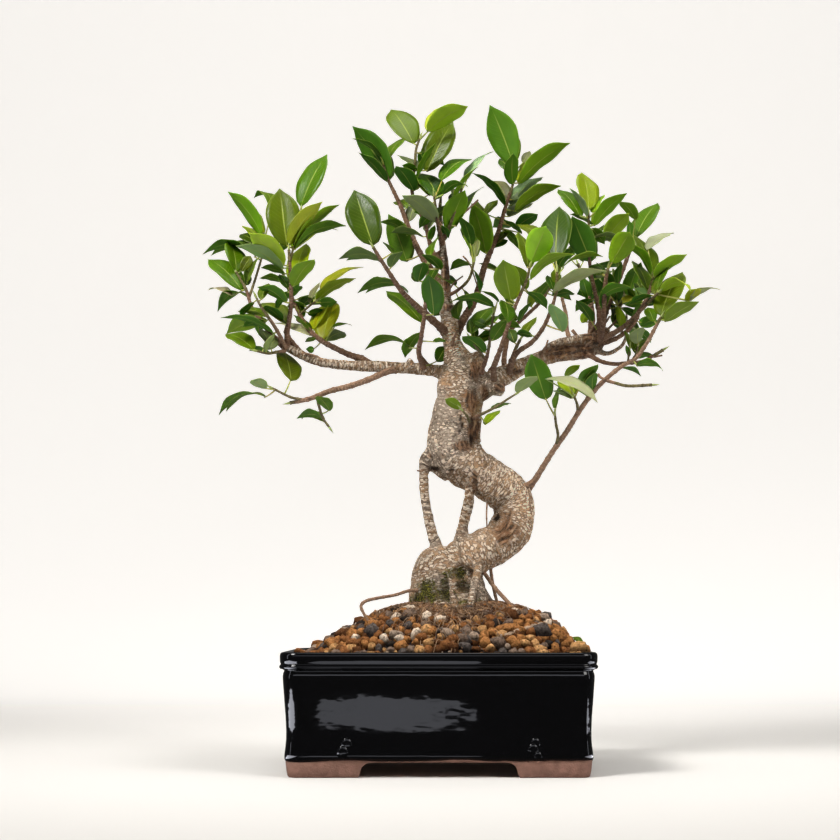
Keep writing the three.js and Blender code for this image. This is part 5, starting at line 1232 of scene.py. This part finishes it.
# Bare twigs and stubs: thickness mm, then places.
BARE_TWIGS = (
    (2.6, (572, 330, 6), (578, 337, 6), (583, 340, 7)),
    (1.9, (587, 338, 6), (594, 322, 10), (592, 300, 14)),
    (1.8, (604, 333, 8), (613, 324, 12), (618, 318, 16)),
    (1.8, (598, 333, 8), (604, 325, 4), (610, 316, 2)),
    (1.6, (654, 357, -11), (659, 356, -9), (662, 355.5, -8)),
    (2.2, (598, 374, -32), (600, 377, -33), (606, 380, -36)),
    (1.4, (478, 200, 8), (462, 215, 2), (455, 220, 0)),
    (1.4, (448, 292, -6), (454, 283, -10), (463, 276, -12)),
    (1.3, (463, 256, -18), (470, 265, -16), (477, 285, -10)),
    (1.8, (303, 353, -14), (318, 357, -18), (322, 362, -20)),
    (1.5, (588, 345, 3), (586, 346, -2), (591, 341, -6)),
    (1.3, (487, 503, -7), (486.5, 515, -9), (487, 528, -8)),
    (1.2, (487, 532, -10), (494, 542, -12), (500, 552, -13)),
    (1.5, (424, 470, -9), (421, 471, -11), (417, 470.5, -12)),
    (2.0, (452, 346, -6), (454, 338, -10), (458, 330, -12)),
    (1.6, (540, 358, -2), (545, 349, -9), (548, 340, -12)),
)


def is_thick(limb):
    return max(station[3] for station in limb[1]) >= THICK_LIMB


def limb_path(stations):
    return smooth_path(stations, LIMB_STEP)


def straightened(coordinates, limbs):
    """For each point: its place as if its nearest limb were straight, how ringed that limb is, and
    how much it takes marks."""
    centres, radii, travelled, frames, ringed, marked = [], [], [], [], [], []
    for number, (name, stations) in enumerate(limbs):
        for point, radius, directions, length in measured(limb_path(stations)):
            centres.append(point)
            radii.append(radius)
            travelled.append(number * LIMB_APART + length)
            frames.append(directions)
            ringed.append(RINGED.get(name, USUALLY_RINGED))
            marked.append(FAINTLY if name in UNMARKED else 1.0)
    centres, radii, travelled, frames, ringed, marked = (
        np.array(values) for values in (centres, radii, travelled, frames, ringed, marked))
    places, nearest = np.empty_like(coordinates), np.empty(len(coordinates), dtype=int)
    for start in range(0, len(coordinates), 8000):
        some = slice(start, start + 8000)
        gap = np.linalg.norm(coordinates[some, None] - centres[None], axis=2) - radii
        near = nearest[some] = gap.argmin(axis=1)
        out = coordinates[some] - centres[near]
        tangent, normal, side = (frames[near, k] for k in range(3))
        places[some, 0] = (out * normal).sum(axis=1)
        places[some, 1] = (out * side).sum(axis=1)
        places[some, 2] = travelled[near] + (out * tangent).sum(axis=1)
    return places, ringed[nearest], marked[nearest]


def closeness(view, across, down, reach_across, reach_down):
    """How close each point is to a place in the front view: 1 there, and less away from it."""
    spread = ((view[0] - across) / reach_across) ** 2 + ((view[1] - down) / reach_down) ** 2
    return np.exp(-spread * 0.8)


def swells(places, *sizes):
    """Noise for each place, with swells about as long as the sizes in mm."""
    return np.array([noise.noise(Vector(place)) for place in places / np.array(sizes)])


def make_trunk():
    """The limbs grown together, with their rings and lumps, and the marks seen on the trunk."""
    limbs = [limb for limb in WOOD if is_thick(limb)]
    rough = Surface()
    for _, stations in limbs:
        tube(rough, limb_path(stations), 20, 0, (0, 0, 0))
    trunk = rough.piece("tree_wood", [bark_material()])
    remesh = trunk.modifiers.new("grown together", "REMESH")
    remesh.mode, remesh.voxel_size = "VOXEL", WOOD_VOXEL * MM
    smooth = trunk.modifiers.new("softened", "SMOOTH")
    smooth.factor, smooth.iterations = SOFTENING
    applied(trunk)

    mesh = trunk.data
    count = len(mesh.vertices)
    coordinates, normals = np.empty(count * 3), np.empty(count * 3)
    mesh.vertices.foreach_get("co", coordinates)
    mesh.vertices.foreach_get("normal", normals)
    coordinates = (coordinates.reshape(-1, 3) - np.array(POT_MIDDLE)) / MM
    normals = normals.reshape(-1, 3)
    places, rings, takes = straightened(coordinates, limbs)

    view = view_of(coordinates)
    to_eye = np.array(EYE) - coordinates
    to_eye /= np.linalg.norm(to_eye, axis=1)[:, None]
    facing = np.clip(((normals * to_eye).sum(axis=1) - 0.05) / 0.3, 0, 1) * takes
    push, marks = np.zeros(count), np.zeros((count, 3))
    for *place, depth, moss, shade, scar in TRUNK_MARKS:
        weight = closeness(view, *place) * facing
        push += depth * weight
        marks = np.maximum(marks, weight[:, None] * np.array((moss, shade, scar)))
    low = np.clip((MOSS_TOP - coordinates[:, 2]) / MOSS_FADE, 0, 1)
    marks[:, 0] = np.maximum(marks[:, 0], low * LOW_MOSS)
    looks = np.tile(USUAL_BARK, (count, 1))
    # The change in lightness paints light and shade on the bark.
    for *place, speckled, greyer, lighter in BARK_MARKS:
        looks += closeness(view, *place)[:, None] * np.array((speckled, greyer, lighter))

    girth = np.linalg.norm(places[:, :2], axis=1)
    push += swells(places, 11, 11, 11) * np.clip(girth * 0.1, 0.15, 1.5)
    push += swells(places, 30, 30, 2.6) * (0.12 + 0.38 * rings)
    push += swells(places, 3.6, 3.6, 3.6) * np.clip(girth * 0.06, 0.15, 0.55)
    coordinates += normals * push[:, None]
    mesh.vertices.foreach_set("co", (coordinates * MM + np.array(POT_MIDDLE)).ravel())
    put_values(mesh, "straight", "FLOAT_VECTOR", places * MM)
    put_values(mesh, "marks", "FLOAT_VECTOR", np.clip(marks, 0, 1))
    put_values(mesh, "ringed", "FLOAT", rings)
    for name, values in zip(("speckled", "greyness", "lighter"), looks.T):
        put_values(mesh, name, "FLOAT", np.clip(values, -1, 2))
    mesh.shade_smooth()
    finished(trunk, "bark", "trunk")


def make_bare_twigs():
    """The thin limbs, bare twigs and stubs, and the root that crosses the soil."""
    twigs = Surface()
    for limb in WOOD:
        if not is_thick(limb):
            tube(twigs, smooth_path(limb[1], TWIG_STEP), 8, 0, OLD_TWIG, knuckle=TWIG_KNUCKLES)
    for thickness, *places in BARE_TWIGS:
        stations = [(*place, thickness * (1 - 0.12 * n)) for n, place in enumerate(places)]
        colour = ROOT_FIBRE if thickness < FIBRE_BELOW else OLD_TWIG
        tube(twigs, smooth_path(stations, TWIG_STEP), 7, 0, colour, knuckle=STUB_KNUCKLES)
    over_soil = [(across, down, on_mound(across, down).y - 2, 2.6) for across, down in ROOT_OVER_SOIL]
    tube(twigs, smooth_path(over_soil, TWIG_STEP), 8, 0, ROOT_FIBRE, knuckle=TWIG_KNUCKLES)
    finished(twigs.piece("bare_twigs", [bpy.data.materials["twig bark"]]), "bark")


# ---------------------------------------------------------------- soil

WALL, FLOOR_TOP = 8, 15.5
POT_WIDTH, POT_DEPTH = 205, 156
SOIL_LEVEL, MOUND_HEIGHT, MOUND_STEEPNESS = 75.5, 33, 2.6
SUMMIT_SHIFT, SHIFT_FADE = 12, 8  # the summit lies to the right, and the shift fades at the walls
SOIL_TILT = 1  # mm that the soil lies higher at the right wall than in the middle
STRAY_STONES, STONE_SPREAD, BARE_AROUND = 34, (88, 65), 30
EARTH_SIDES = ((4.4, FLOOR_TOP + 0.4), (2.8, 24), (1.6, 60), (0.9, SOIL_LEVEL - 3))  # inset and height
GRAIN_LAYERS = (  # name, mm under the mound's top, mm from the wall, size from and to, spacing, seed
    ("coarse_grains", 0.4, 3.2, 4.4, 7.8, 5.0, 3), ("fine_grains", 2.2, 2, 2.0, 3.8, 2.9, 8),
)
DENSEST = 400000.0  # shapes per square metre
ROOT_HAIRS, HAIRS_FROM, HAIRS_AROUND = 380, (8, 2), (24, 26)  # how many, their middle and reach
FIBRE_BROWNS = Vector((0.09, 0.04, 0.018)), Vector((0.42, 0.24, 0.12))
MOSS_GREEN, MOSSY_FROM = (0.11, 0.12, 0.022), 0.45


def mound_height(x, y):
    """The top of the soil at a place in the pot."""
    half_width, half_depth = POT_WIDTH / 2 - WALL, POT_DEPTH / 2 - WALL
    shift = SUMMIT_SHIFT * (1 - (x / half_width) ** SHIFT_FADE)
    out = (abs((x - shift) / half_width) ** 3 + abs(y / half_depth) ** 3) ** (1 / 3)
    return SOIL_LEVEL + SOIL_TILT * x / half_width + MOUND_HEIGHT * (1 - min(1, out) ** MOUND_STEEPNESS)


def on_soil(x, y, above=0.0):
    return Vector((x, y, mound_height(x, y) + above))


def rounded_plan(inset, height, steps=8, corner=13):
    """A ring of points at one height: the rim's outline, drawn in by the inset."""
    radius = max(corner - inset, 3)
    ring = []
    for quarter, (sx, sy) in enumerate(((1, 1), (-1, 1), (-1, -1), (1, -1))):
        x = sx * (POT_WIDTH / 2 - inset - radius)
        y = sy * (POT_DEPTH / 2 - inset - radius)
        for k in range(steps + 1):
            angle = (quarter + k / steps) * math.pi / 2
            ring.append(Vector((x + radius * math.cos(angle), y + radius * math.sin(angle), height)))
    return ring


def even_ring(ring, count=72):
    """The same closed outline with `count` evenly spaced points."""
    lengths = [0]
    for a, b in zip(ring, ring[1:] + ring[:1]):
        lengths.append(lengths[-1] + (b - a).length)
    points, corner = [], 0
    for k in range(count):
        place = lengths[-1] * k / count
        while lengths[corner + 1] <= place:
            corner += 1
        share = (place - lengths[corner]) / (lengths[corner + 1] - lengths[corner])
        points.append(ring[corner].lerp(ring[(corner + 1) % len(ring)], share))
    return points


def loft(rings, closed_ends=True):
    """Points and faces of a skin over rings that have the same number of points."""
    count = len(rings[0])
    faces = skin_faces(len(rings), count)
    points = [point for ring in rings for point in ring]
    if closed_ends:
        faces.append(tuple(reversed(range(count))))
        faces.append(tuple(range(len(points) - count, len(points))))
    return points, faces


def plain_piece(name, points, faces, material):
    return new_object(name, new_mesh(name, points, faces, material))


def mound_rings(lowered, inset, steps=20):
    edge = even_ring(rounded_plan(WALL + inset, 0))
    shares = [1 - step / steps for step in range(steps)]
    return [[on_soil(p.x * share, p.y * share, -lowered) for p in edge] for share in shares]


def make_earth():
    """The fine earth that fills the pot under the grains: its own dark colour made nearly black, as painted
    shade in the gaps between them.
    """
    below = [even_ring(rounded_plan(WALL + inset, height)) for inset, height in EARTH_SIDES]
    # Its colour is nearly black, as painted shade in the gaps between the grains.
    material = plain_material("fine earth", EARTH_AND_GAP_SHADE, 400.0, 0.5, 0.95, 0.001, grains=700.0)
    earth = plain_piece("fine_earth", *loft(below + mound_rings(1.8, 0.9)), material)
    finished(earth, "granules", "soil")


def mesh_of(skin, mesh):
    """The mesh filled from a loose skin, which is done with."""
    skin.to_mesh(mesh)
    skin.free()
    return mesh


def grain_shapes(count=6):
    """A few chunky grains, each a cube rounded and pushed out of shape."""
    shapes = bpy.data.collections.new("grain shapes")
    for number in range(count):
        luck = random.Random(number)
        skin = bmesh.new()
        bmesh.ops.create_cube(skin, size=1.15)
        bmesh.ops.subdivide_edges(skin, edges=skin.edges[:], cuts=1, use_grid_fill=True)
        lengths = Vector((luck.uniform(0.85, 1.2), luck.uniform(0.75, 1.05), luck.uniform(0.6, 0.95)))
        for corner in skin.verts:
            ball = corner.co.normalized() * 0.62
            corner.co = corner.co.lerp(ball, 0.72) * lengths
            corner.co *= 1 + 0.34 * noise.noise(corner.co * 1.7 + Vector((number * 9, 0, 0)))
        name = f"grain {number}"
        mesh = mesh_of(skin, bpy.data.meshes.new(name))
        mesh.shade_smooth()
        shapes.objects.link(bpy.data.objects.new(name, mesh))
    return shapes


def scatter_tree(name, material):
    """Geometry Nodes that scatter a collection's shapes over a surface, each with a draw of its own."""
    tree, (ground, shapes, spacing, smallest, largest, seed) = new_group(name, {
        "Geometry": "Geometry", "Shapes": "Collection", "Spacing": "Float", "Smallest": "Float",
        "Largest": "Float", "Seed": "Int"}, {"Geometry": "Geometry"}, "GeometryNodeTree")
    spread = node_value(tree, "GeometryNodeDistributePointsOnFaces", {
        "Mesh": ground, "Distance Min": spacing, "Density Max": DENSEST, "Seed": seed},
        distribute_method="POISSON")
    choice = node_value(tree, "GeometryNodeCollectionInfo", {
        "Collection": shapes, "Separate Children": True, "Reset Children": True})
    turn = node_value(tree, "FunctionNodeRandomValue", {
        0: (0, 0, 0), 1: (math.tau, math.tau, math.tau), "Seed": seed}, data_type="FLOAT_VECTOR")
    size, draw = (node_value(tree, "FunctionNodeRandomValue", {2: low, 3: high, "Seed": chance}, 1)
                  for low, high, chance in ((smallest, largest, seed), (0.0, 1.0, 5)))
    copies = node_value(tree, "GeometryNodeInstanceOnPoints", {
        "Points": spread, "Instance": choice, "Pick Instance": True, "Rotation": turn, "Scale": size})
    stored = node_value(tree, "GeometryNodeStoreNamedAttribute", {
        "Geometry": copies, "Name": "grain", "Value": draw}, data_type="FLOAT", domain="INSTANCE")
    real = node_value(tree, "GeometryNodeRealizeInstances", {"Geometry": stored})
    dressed = node_value(tree, "GeometryNodeSetMaterial", {"Geometry": real, "Material": material})
    add_node(tree, "NodeGroupOutput", {"Geometry": dressed})
    return tree


def scattered(piece, tree, **values):
    """The piece's surface replaced by the shapes that the tree scatters over it."""
    scatter = piece.modifiers.new("scatter", "NODES")
    scatter.node_group = tree
    for item in tree.interface.items_tree:
        label = item.name.lower()
        if item.item_type == "SOCKET" and item.in_out == "INPUT" and label in values:
            scatter[item.identifier] = values[label]
    return applied(piece)


def make_grains():
    """Two layers of grains over the mound: coarse ones, and fine ones between them."""
    shapes, material = grain_shapes(), grain_material()
    tree = scatter_tree("grains on the mound", material)
    for name, lowered, inset, smallest, largest, spacing, seed in GRAIN_LAYERS:
        grains = plain_piece(name, *loft(mound_rings(lowered, inset)), material)
        scattered(grains, tree, shapes=shapes, spacing=spacing * MM, smallest=smallest * MM,
                  largest=largest * MM, seed=seed)
        finished(grains, "granules")
    return shapes, material


# Single stones on the slope that faces the front: across, down, size mm, draw of the colour.
FRONT_STONES = (
    (343, 637, 8.5, 0.66), (372, 634, 9, 0.8), (361, 624, 7.4, 0.66), (330, 645, 7.5, 0.05),
    (365, 643, 7, 0.22), (411, 617, 8.5, 0.7), (541, 634, 10, 0.78), (557, 637, 8.5, 0.05),
    (509, 618, 9, 0.66), (545, 619, 8, 0.8), (474, 639, 8, 0.86), (498, 645, 8, 0.7),
    (440, 622, 6.5, 0.975), (395, 613, 7, 0.93), (405, 621, 6, 0.94), (384, 640, 6.5, 0.98),
    (351, 645, 7, 0.3), (400, 640, 6, 0.98), (421, 640, 6.5, 0.25), (434, 615, 6, 0.6), (462, 641, 7, 0.7),
    (485, 616, 6, 0.7), (525, 645, 7, 0.4), (512, 643, 7, 0.12), (318, 647, 7, 0.24), (568, 645, 8, 0.02),
    (385, 622, 6, 0.3), (430, 634, 6, 0.1), (536, 622, 6, 0.5), (553, 626, 6.5, 0.3),
)
CORNER_STONES = (((91, -58, 79), 9, 0.45), ((97, -40, 78), 7, 0.1), ((-90, -52, 77), 6, 0.3))


def stray_places():
    """Places all over the mound along a sunflower's spiral, past the trunk's foot."""
    turn = math.pi * (3 - math.sqrt(5))
    places = []
    for n in range(STRAY_STONES):
        out = math.sqrt((n + 0.5) / STRAY_STONES)
        x, y = STONE_SPREAD[0] * math.cos(n * turn), STONE_SPREAD[1] * math.sin(n * turn)
        places.append((out * x, out * y))
    return [place for place in places if math.hypot(*place) > BARE_AROUND]


def on_mound(across, down):
    """The place, in mm, where the soil is seen at (across, down)."""
    near, far = -POT_DEPTH / 2 + WALL, 0.0
    for _ in range(24):
        depth = (near + far) / 2
        point = seen(across, down, depth)
        if point.z > mound_height(point.x, point.y):
            near = depth
        else:
            far = depth
    return point


def make_single_stones(shapes, material):
    """The large stones of the front slope and those that lie scattered over the mound."""
    luck = random.Random(50)
    stones = [(on_mound(across, down), size, draw) for across, down, size, draw in FRONT_STONES]
    stones += [(Vector(place), size, draw) for place, size, draw in CORNER_STONES]
    stones += [(on_soil(*place), luck.uniform(6.5, 8), luck.random()) for place in stray_places()]
    surface, draws = Surface(), []
    grains = list(shapes.objects)
    for number, (centre, size, draw) in enumerate(stones):
        turn = Vector((luck.random(), luck.random(), luck.random())).to_track_quat("Z", "Y").to_matrix()
        shape = grains[number % len(grains)].data
        points = [turn @ (vertex.co * size) + centre + UP * size * 0.12 for vertex in shape.vertices]
        faces = [face.vertices for face in shape.polygons]
        surface.add(points, faces, 0, [(0, 0, 0)] * len(points), (0, 0, 0))
        draws += [draw] * len(points)
    piece = surface.piece("single_stones", [material])
    put_values(piece.data, "grain", "FLOAT", draws)
    finished(piece, "granules")


def make_root_hairs():
    """Fine roots of several browns that run out over the soil from the foot of the trunk."""
    luck = random.Random(21)
    surface = Surface()
    for _ in range(ROOT_HAIRS):
        angle = luck.gauss(-1.55, 0.8)
        out = luck.uniform(0.8, 1.7)
        place = Vector((HAIRS_FROM[0] + HAIRS_AROUND[0] * out * math.cos(angle),
                        HAIRS_FROM[1] + HAIRS_AROUND[1] * out * math.sin(angle), 0))
        heading, path = angle + luck.uniform(-1.2, 1.2), []
        for step in range(luck.randint(6, 18)):
            heading += luck.uniform(-0.6, 0.6)
            place = place + Vector((math.cos(heading), math.sin(heading), 0)) * 2.2
            lift = 2.6 + 2.2 * math.sin(step * 0.9 + angle * 7)
            path.append((on_soil(place.x, place.y, lift), luck.uniform(0.2, 0.42)))
        tube(surface, path, 4, 0, FIBRE_BROWNS[0].lerp(FIBRE_BROWNS[1], luck.random() ** 1.6))
    finished(surface.piece("root_hairs", [bpy.data.materials["twig bark"]]), "bark")


def moss_tufts():
    """A tuft of five short blades that lean out from one another, each with three sides."""
    skin = bmesh.new()
    for blade in range(5):
        angle = math.tau * blade / 5
        lean = Vector((math.cos(angle), math.sin(angle), 0)) * 0.45
        side = Vector((-math.sin(angle), math.cos(angle), 0)) * 0.16
        base = lean * 0.3
        places = (base - side, base + side, base + lean * 0.3 + UP * 0.5, lean + UP * 0.9)
        corners = [skin.verts.new(place) for place in places]
        for face in ((0, 1, 3), (1, 2, 3), (2, 0, 3), (0, 2, 1)):
            skin.faces.new([corners[k] for k in face])
    tufts = bpy.data.collections.new("moss tufts")
    tuft = mesh_of(skin, bpy.data.meshes.new("moss tuft"))
    tufts.objects.link(bpy.data.objects.new("moss tuft", tuft))
    return tufts


def make_moss():
    """Low cushions of moss on the foot of the trunk and between the stub roots."""
    trunk = bpy.data.objects["tree_wood"].data
    marks = np.empty(len(trunk.vertices) * 3, dtype=np.float32)
    trunk.attributes["marks"].data.foreach_get("vector", marks)
    mossy = marks.reshape(-1, 3)[:, 0]
    chosen = [face.vertices[:] for face in trunk.polygons if mossy[face.vertices[0]] > MOSSY_FROM]
    used = sorted({corner for face in chosen for corner in face})
    renumbered = {old: new for new, old in enumerate(used)}
    ground = bpy.data.meshes.new("moss")
    ground.from_pydata([trunk.vertices[i].co for i in used], [],
                       [[renumbered[i] for i in face] for face in chosen])
    tufts = moss_tufts()
    material = plain_material("moss", MOSS_GREEN, 260.0, 0.85, 0.9, 0.0002)
    moss = scattered(new_object("moss", ground), scatter_tree("moss on the foot", material), shapes=tufts,
                     spacing=2.3 * MM, smallest=0.8 * MM, largest=1.7 * MM, seed=4)
    finished(moss, "foliage")


FALLEN_LEAF, FALLEN_STALK = (572, 637, 583, 647, 6, -12, 0.2, "M"), ((583, 647), (585, 649))


def make_fallen_leaf():
    """One small leaf that has dropped on the soil at the right."""
    surface = Surface()
    lying = on_mound(583, 646).y
    stem = [(*place, lying, 1) for place in FALLEN_STALK]
    add_leaf(surface, FALLEN_LEAF, [stem], random.Random(3))
    materials = [bpy.data.materials[name] for name in ("ficus leaf", "twig bark", "petiole")]
    finished(surface.piece("fallen_leaf", materials), "foliage")


# ---------------------------------------------------------------- pot

GLAZE_LINE = 10.6
FOOT_GAP_FRONT, FOOT_GAP_SIDE, FOOT_GAP_HEIGHT, FOOT_SHOULDER = 100, 70, 9.6, 7
DRAIN_OFFSET, DRAIN_RADIUS = 46, 8
FOOT_OUTSIDE = ((7, 0), (6.2, 0.7), (5.4, 4), (4.7, 9.8))  # inset and height
FOOT_INSIDE = ((15, 9.8), (15.8, 4), (16.4, 0.7), (15.6, 0))
SOFT_EDGE, SOFT_EDGE_FROM = 0.7, 50  # mm, and the angle in degrees
# The pot's section from the floor's underside, up the outside, over the rim and down the inside:
# inset from the rim's outline, and height.
OUTER_SECTION = (
    (5.6, 9.5), (4.4, 10.2), (3.9, 12), (4.1, 15), (4.7, 19.5), (5.0, 24), (4.9, 30), (4.5, 38), (3.7, 46),
    (3.0, 54), (2.4, 61), (2.3, 63.2), (2.6, 65), (3.1, 66.2), (3.2, 67), (2.2, 67.6), (0.8, 67.9),
    (0.15, 68.5), (0.0, 69.3), (0.3, 70.1), (0.85, 70.6), (0.95, 71.2), (0.5, 72), (0.3, 74), (0.25, 76.2),
    (0.6, 77.6), (1.4, 78.3), (2.6, 78.5),
)
INNER_SECTION = (
    (5.6, 78.5), (6.6, 78.1), (7.1, 77.1), (7.4, 74.5), (8.4, 68), (9.2, 60), (10.4, 24), (11.2, 18.5),
    (13, 16), (16, 15.5),
)
GLAZE_DRIPS = (  # across and up on the front wall, and radius, mm
    (-58.5, 20.5, 4.2), (-61, 15.5, 4.4), (61, 21, 3.8), (59.5, 17, 4.2), (62.5, 13, 3.4),
)
MESH_BLACK = (0.03, 0.035, 0.03)


def foot_gap(width, turned):
    """The space between two feet, right through under the pot, with rounded shoulders."""
    half, spring = width / 2, FOOT_GAP_HEIGHT - FOOT_SHOULDER
    outline = [(half + 1.2, -5), (half + 1.2, 0), (half + 0.6, 1.2)]
    for k in range(9):
        angle = math.pi / 2 * k / 8
        outline.append((half + FOOT_SHOULDER * (math.cos(angle) - 1),
                        spring + FOOT_SHOULDER * math.sin(angle)))
    outline += [(-x, z) for x, z in reversed(outline)]
    return loft([[Vector((reach, -x, z)) if turned else Vector((x, reach, z)) for x, z in outline]
                 for reach in (-150, 150)])


def drain_hole(side):
    """A round column through the pot's floor."""
    turns = [math.tau * k / 32 for k in range(32)]
    return loft([[Vector((side * DRAIN_OFFSET + DRAIN_RADIUS * math.cos(turn),
                          DRAIN_RADIUS * math.sin(turn), height)) for turn in turns]
                 for height in (0, 30)])


def turned_out(mesh):
    """The mesh with its loose edges joined and all of its faces turned outwards."""
    skin = bmesh.new()
    skin.from_mesh(mesh)
    bmesh.ops.remove_doubles(skin, verts=skin.verts, dist=1e-6)
    bmesh.ops.recalc_face_normals(skin, faces=skin.faces)
    return mesh_of(skin, mesh)


def cut_away(piece, name, solid):
    """The piece less a solid."""
    tool = plain_piece(name, *solid, piece.data.materials[0])
    turned_out(tool.data)
    cut = piece.modifiers.new(name, "BOOLEAN")
    cut.object, cut.operation, cut.solver = tool, "DIFFERENCE", "EXACT"
    applied(piece)
    bpy.data.objects.remove(tool)


def make_pot():
    """The glazed bowl on its four clay feet, with its drain holes."""
    material = pot_material()
    section = [rounded_plan(inset, height) for inset, height in OUTER_SECTION + INNER_SECTION]
    pot = plain_piece("glazed_pot", *loft(section), material)
    turned_out(pot.data)
    for side in (-1, 1):
        cut_away(pot, "drain", drain_hole(side))

    rings = [rounded_plan(inset, height) for inset, height in FOOT_OUTSIDE]
    rings += [rounded_plan(inset, height, corner=17) for inset, height in FOOT_INSIDE]
    feet = plain_piece("feet", *loft(rings + [rings[0]], closed_ends=False), material)
    turned_out(feet.data)
    cut_away(feet, "front gap", foot_gap(FOOT_GAP_FRONT, False))
    cut_away(feet, "side gap", foot_gap(FOOT_GAP_SIDE, True))

    skin = bmesh.new()
    skin.from_mesh(pot.data)
    skin.from_mesh(feet.data)
    insets, heights = zip(*OUTER_SECTION)
    for x, z, radius in GLAZE_DRIPS:
        middle = POT_MIDDLE + Vector((x, np.interp(z, heights, insets) - POT_DEPTH / 2, z)) * MM
        bmesh.ops.create_uvsphere(
            skin, u_segments=12, v_segments=8, radius=radius * MM,
            matrix=Matrix.Translation(middle) @ Matrix.Diagonal((0.8, 0.2, 1.1, 1)))
    mesh_of(skin, pot.data)
    bpy.data.objects.remove(feet)
    bevel = pot.modifiers.new("soft edges", "BEVEL")
    bevel.width, bevel.segments, bevel.angle_limit = SOFT_EDGE * MM, 2, math.radians(SOFT_EDGE_FROM)
    applied(pot)
    pot.data.shade_smooth()
    finished(pot, "glazed_clay", "pot")


def dress_drain_meshes():
    material = plain_material("mesh plastic", MESH_BLACK, 300.0, 0.2, 0.6, 0.0001)
    for name in ("drain_mesh_left", "drain_mesh_right"):
        mesh = frame["nodes"][name].data
        mesh.materials.clear()
        mesh.materials.append(material)


# ---------------------------------------------------------------- floor, light and camera

BACKDROP, BACKDROP_GLOW = (0.72, 0.702, 0.676), (1.0, 0.975, 0.945)
BACKDROP_HALF_WIDTH, BACKDROP_NEAR, BACKDROP_BEND, BACKDROP_TOP = 3500, -3000, 900, 4200
WORLD_COLOUR, WORLD_STRENGTH = (1, 0.98, 0.95, 1), 0.11
LIGHTS = (  # name, place, aim, size, power, colour and spread
    ("key", (-0.85, -0.8, 1.3), (0, 0, 0.24), (0.45, 0.45), 3.4, (1, 0.985, 0.96), 60),
    ("fill", (0.95, -0.8, 0.85), (0, 0, 0.25), (0.5, 0.7), 1.5, (1, 0.98, 0.96), 60),
    ("top", (0.1, -0.1, 1.5), (0, 0.05, 0.3), (0.8, 0.6), 1.8, (1, 0.99, 0.98), 80),
    ("wall", (0, 0.4, 2.6), (0, 1.75, 0.7), (3.2, 1.0), 9.4, (1, 0.985, 0.96), 120),
)
CARDS = (  # seen only where something mirrors them: name, place, aim, size and power
    ("front card", (0, -1.3, 0.48), (0, 0, 0.1), (2.2, 0.22), 5),
    ("left window", (-1.05, -0.44, 0.5), (0, 0, 0.3), (0.08, 1.0), 1.5),
    ("right window", (1.1, -0.3, 0.5), (0, 0, 0.3), (0.08, 1.0), 1.5),
)
# Low cards on the floor, which only the pot mirrors: from left to right, from near to far, mm, and glow.
FLOOR_CARDS = (
    (-112, -83, 152, 268, 3), (-83, -54, 182, 292, 3), (-54, -32, 183, 288, 3), (-32, -16, 182, 277, 3),
    (-16, -2, 176, 268, 3), (-2, 10, 172, 260, 3), (10, 24, 172, 252, 3), (-330, -135, 60, 230, 16),
    (130, 300, 0, 150, 10),
)
CARD_COLOUR = (0.88, 0.9, 1)


def make_backdrop():
    """A pale floor that curves up into a wall behind, which glows a little so that it stays even."""
    bend = BACKDROP_BEND
    profile = [(BACKDROP_NEAR, 0), (bend, 0)]
    profile += [(bend + bend * math.sin(math.pi / 2 * k / 12), bend - bend * math.cos(math.pi / 2 * k / 12))
                for k in range(1, 13)]
    profile.append((2 * bend, BACKDROP_TOP))
    sides = (-BACKDROP_HALF_WIDTH, BACKDROP_HALF_WIDTH)
    points = [Vector((x, y, z - 0.05)) for x in sides for y, z in profile]
    count = len(profile)
    faces = [(k, k + count, k + count + 1, k + 1) for k in range(count - 1)]
    material, tree = new_material("backdrop")
    surfaced(material, {
        "Base Color": BACKDROP, "Roughness": 0.9, "Specular IOR Level": 0.1, "Emission Color": BACKDROP_GLOW,
        "Emission Strength": split(object_place(tree))[1].ramp(0.1, 1.3, 0.0, 0.6)})
    backdrop = plain_piece("backdrop", points, faces, material)
    backdrop.data.shade_smooth()
    backdrop.visible_glossy = False


def area_light(name, place, aim, size, power, colour=CARD_COLOUR, spread=180, mirrored_only=True):
    light = bpy.data.lights.new(name, "AREA")
    light.shape, light.size, light.size_y = "RECTANGLE", *size
    light.energy, light.color, light.spread = power, colour, math.radians(spread)
    made = new_object(name, light)
    made.location = place
    made.rotation_euler = (Vector(aim) - Vector(place)).to_track_quat("-Z", "Y").to_euler()
    made.visible_camera, made.visible_diffuse = False, not mirrored_only


def light_scene():
    world = bpy.data.worlds.new("studio")
    world.use_nodes = True
    sky = world.node_tree.nodes["Background"].inputs
    sky[0].default_value, sky[1].default_value = WORLD_COLOUR, WORLD_STRENGTH
    bpy.context.scene.world = world
    for light in LIGHTS:
        area_light(*light, mirrored_only=False)
    for card in CARDS:
        area_light(*card)
    for left, right, near, far, glow in FLOOR_CARDS:
        middle = ((left + right) / 2 * MM, -(near + far) / 2 * MM, 0.004)
        size = ((right - left) * MM, (far - near) * MM)
        area_light("floor card", middle, (*middle[:2], 1), size, glow * math.pi * size[0] * size[1])


def place_camera():
    camera = bpy.data.cameras.new("camera")
    camera.sensor_width = SENSOR
    camera.lens = VIEW_FOCAL * SENSOR / PICTURE_SIZE
    camera.clip_start = 0.05
    made = new_object("camera", camera)
    made.location = POT_MIDDLE + EYE * MM
    made.rotation_euler = (math.pi / 2 + VIEW_TILT, 0, 0)
    bpy.context.scene.camera = made


# ---------------------------------------------------------------- the whole

place_camera()
make_pot()
dress_drain_meshes()
make_earth()
make_single_stones(*make_grains())
make_shoots()
make_trunk()
make_bare_twigs()
make_moss()
make_root_hairs()
make_fallen_leaf()
make_backdrop()
light_scene()
bpy.context.scene.view_settings.view_transform = "Standard"
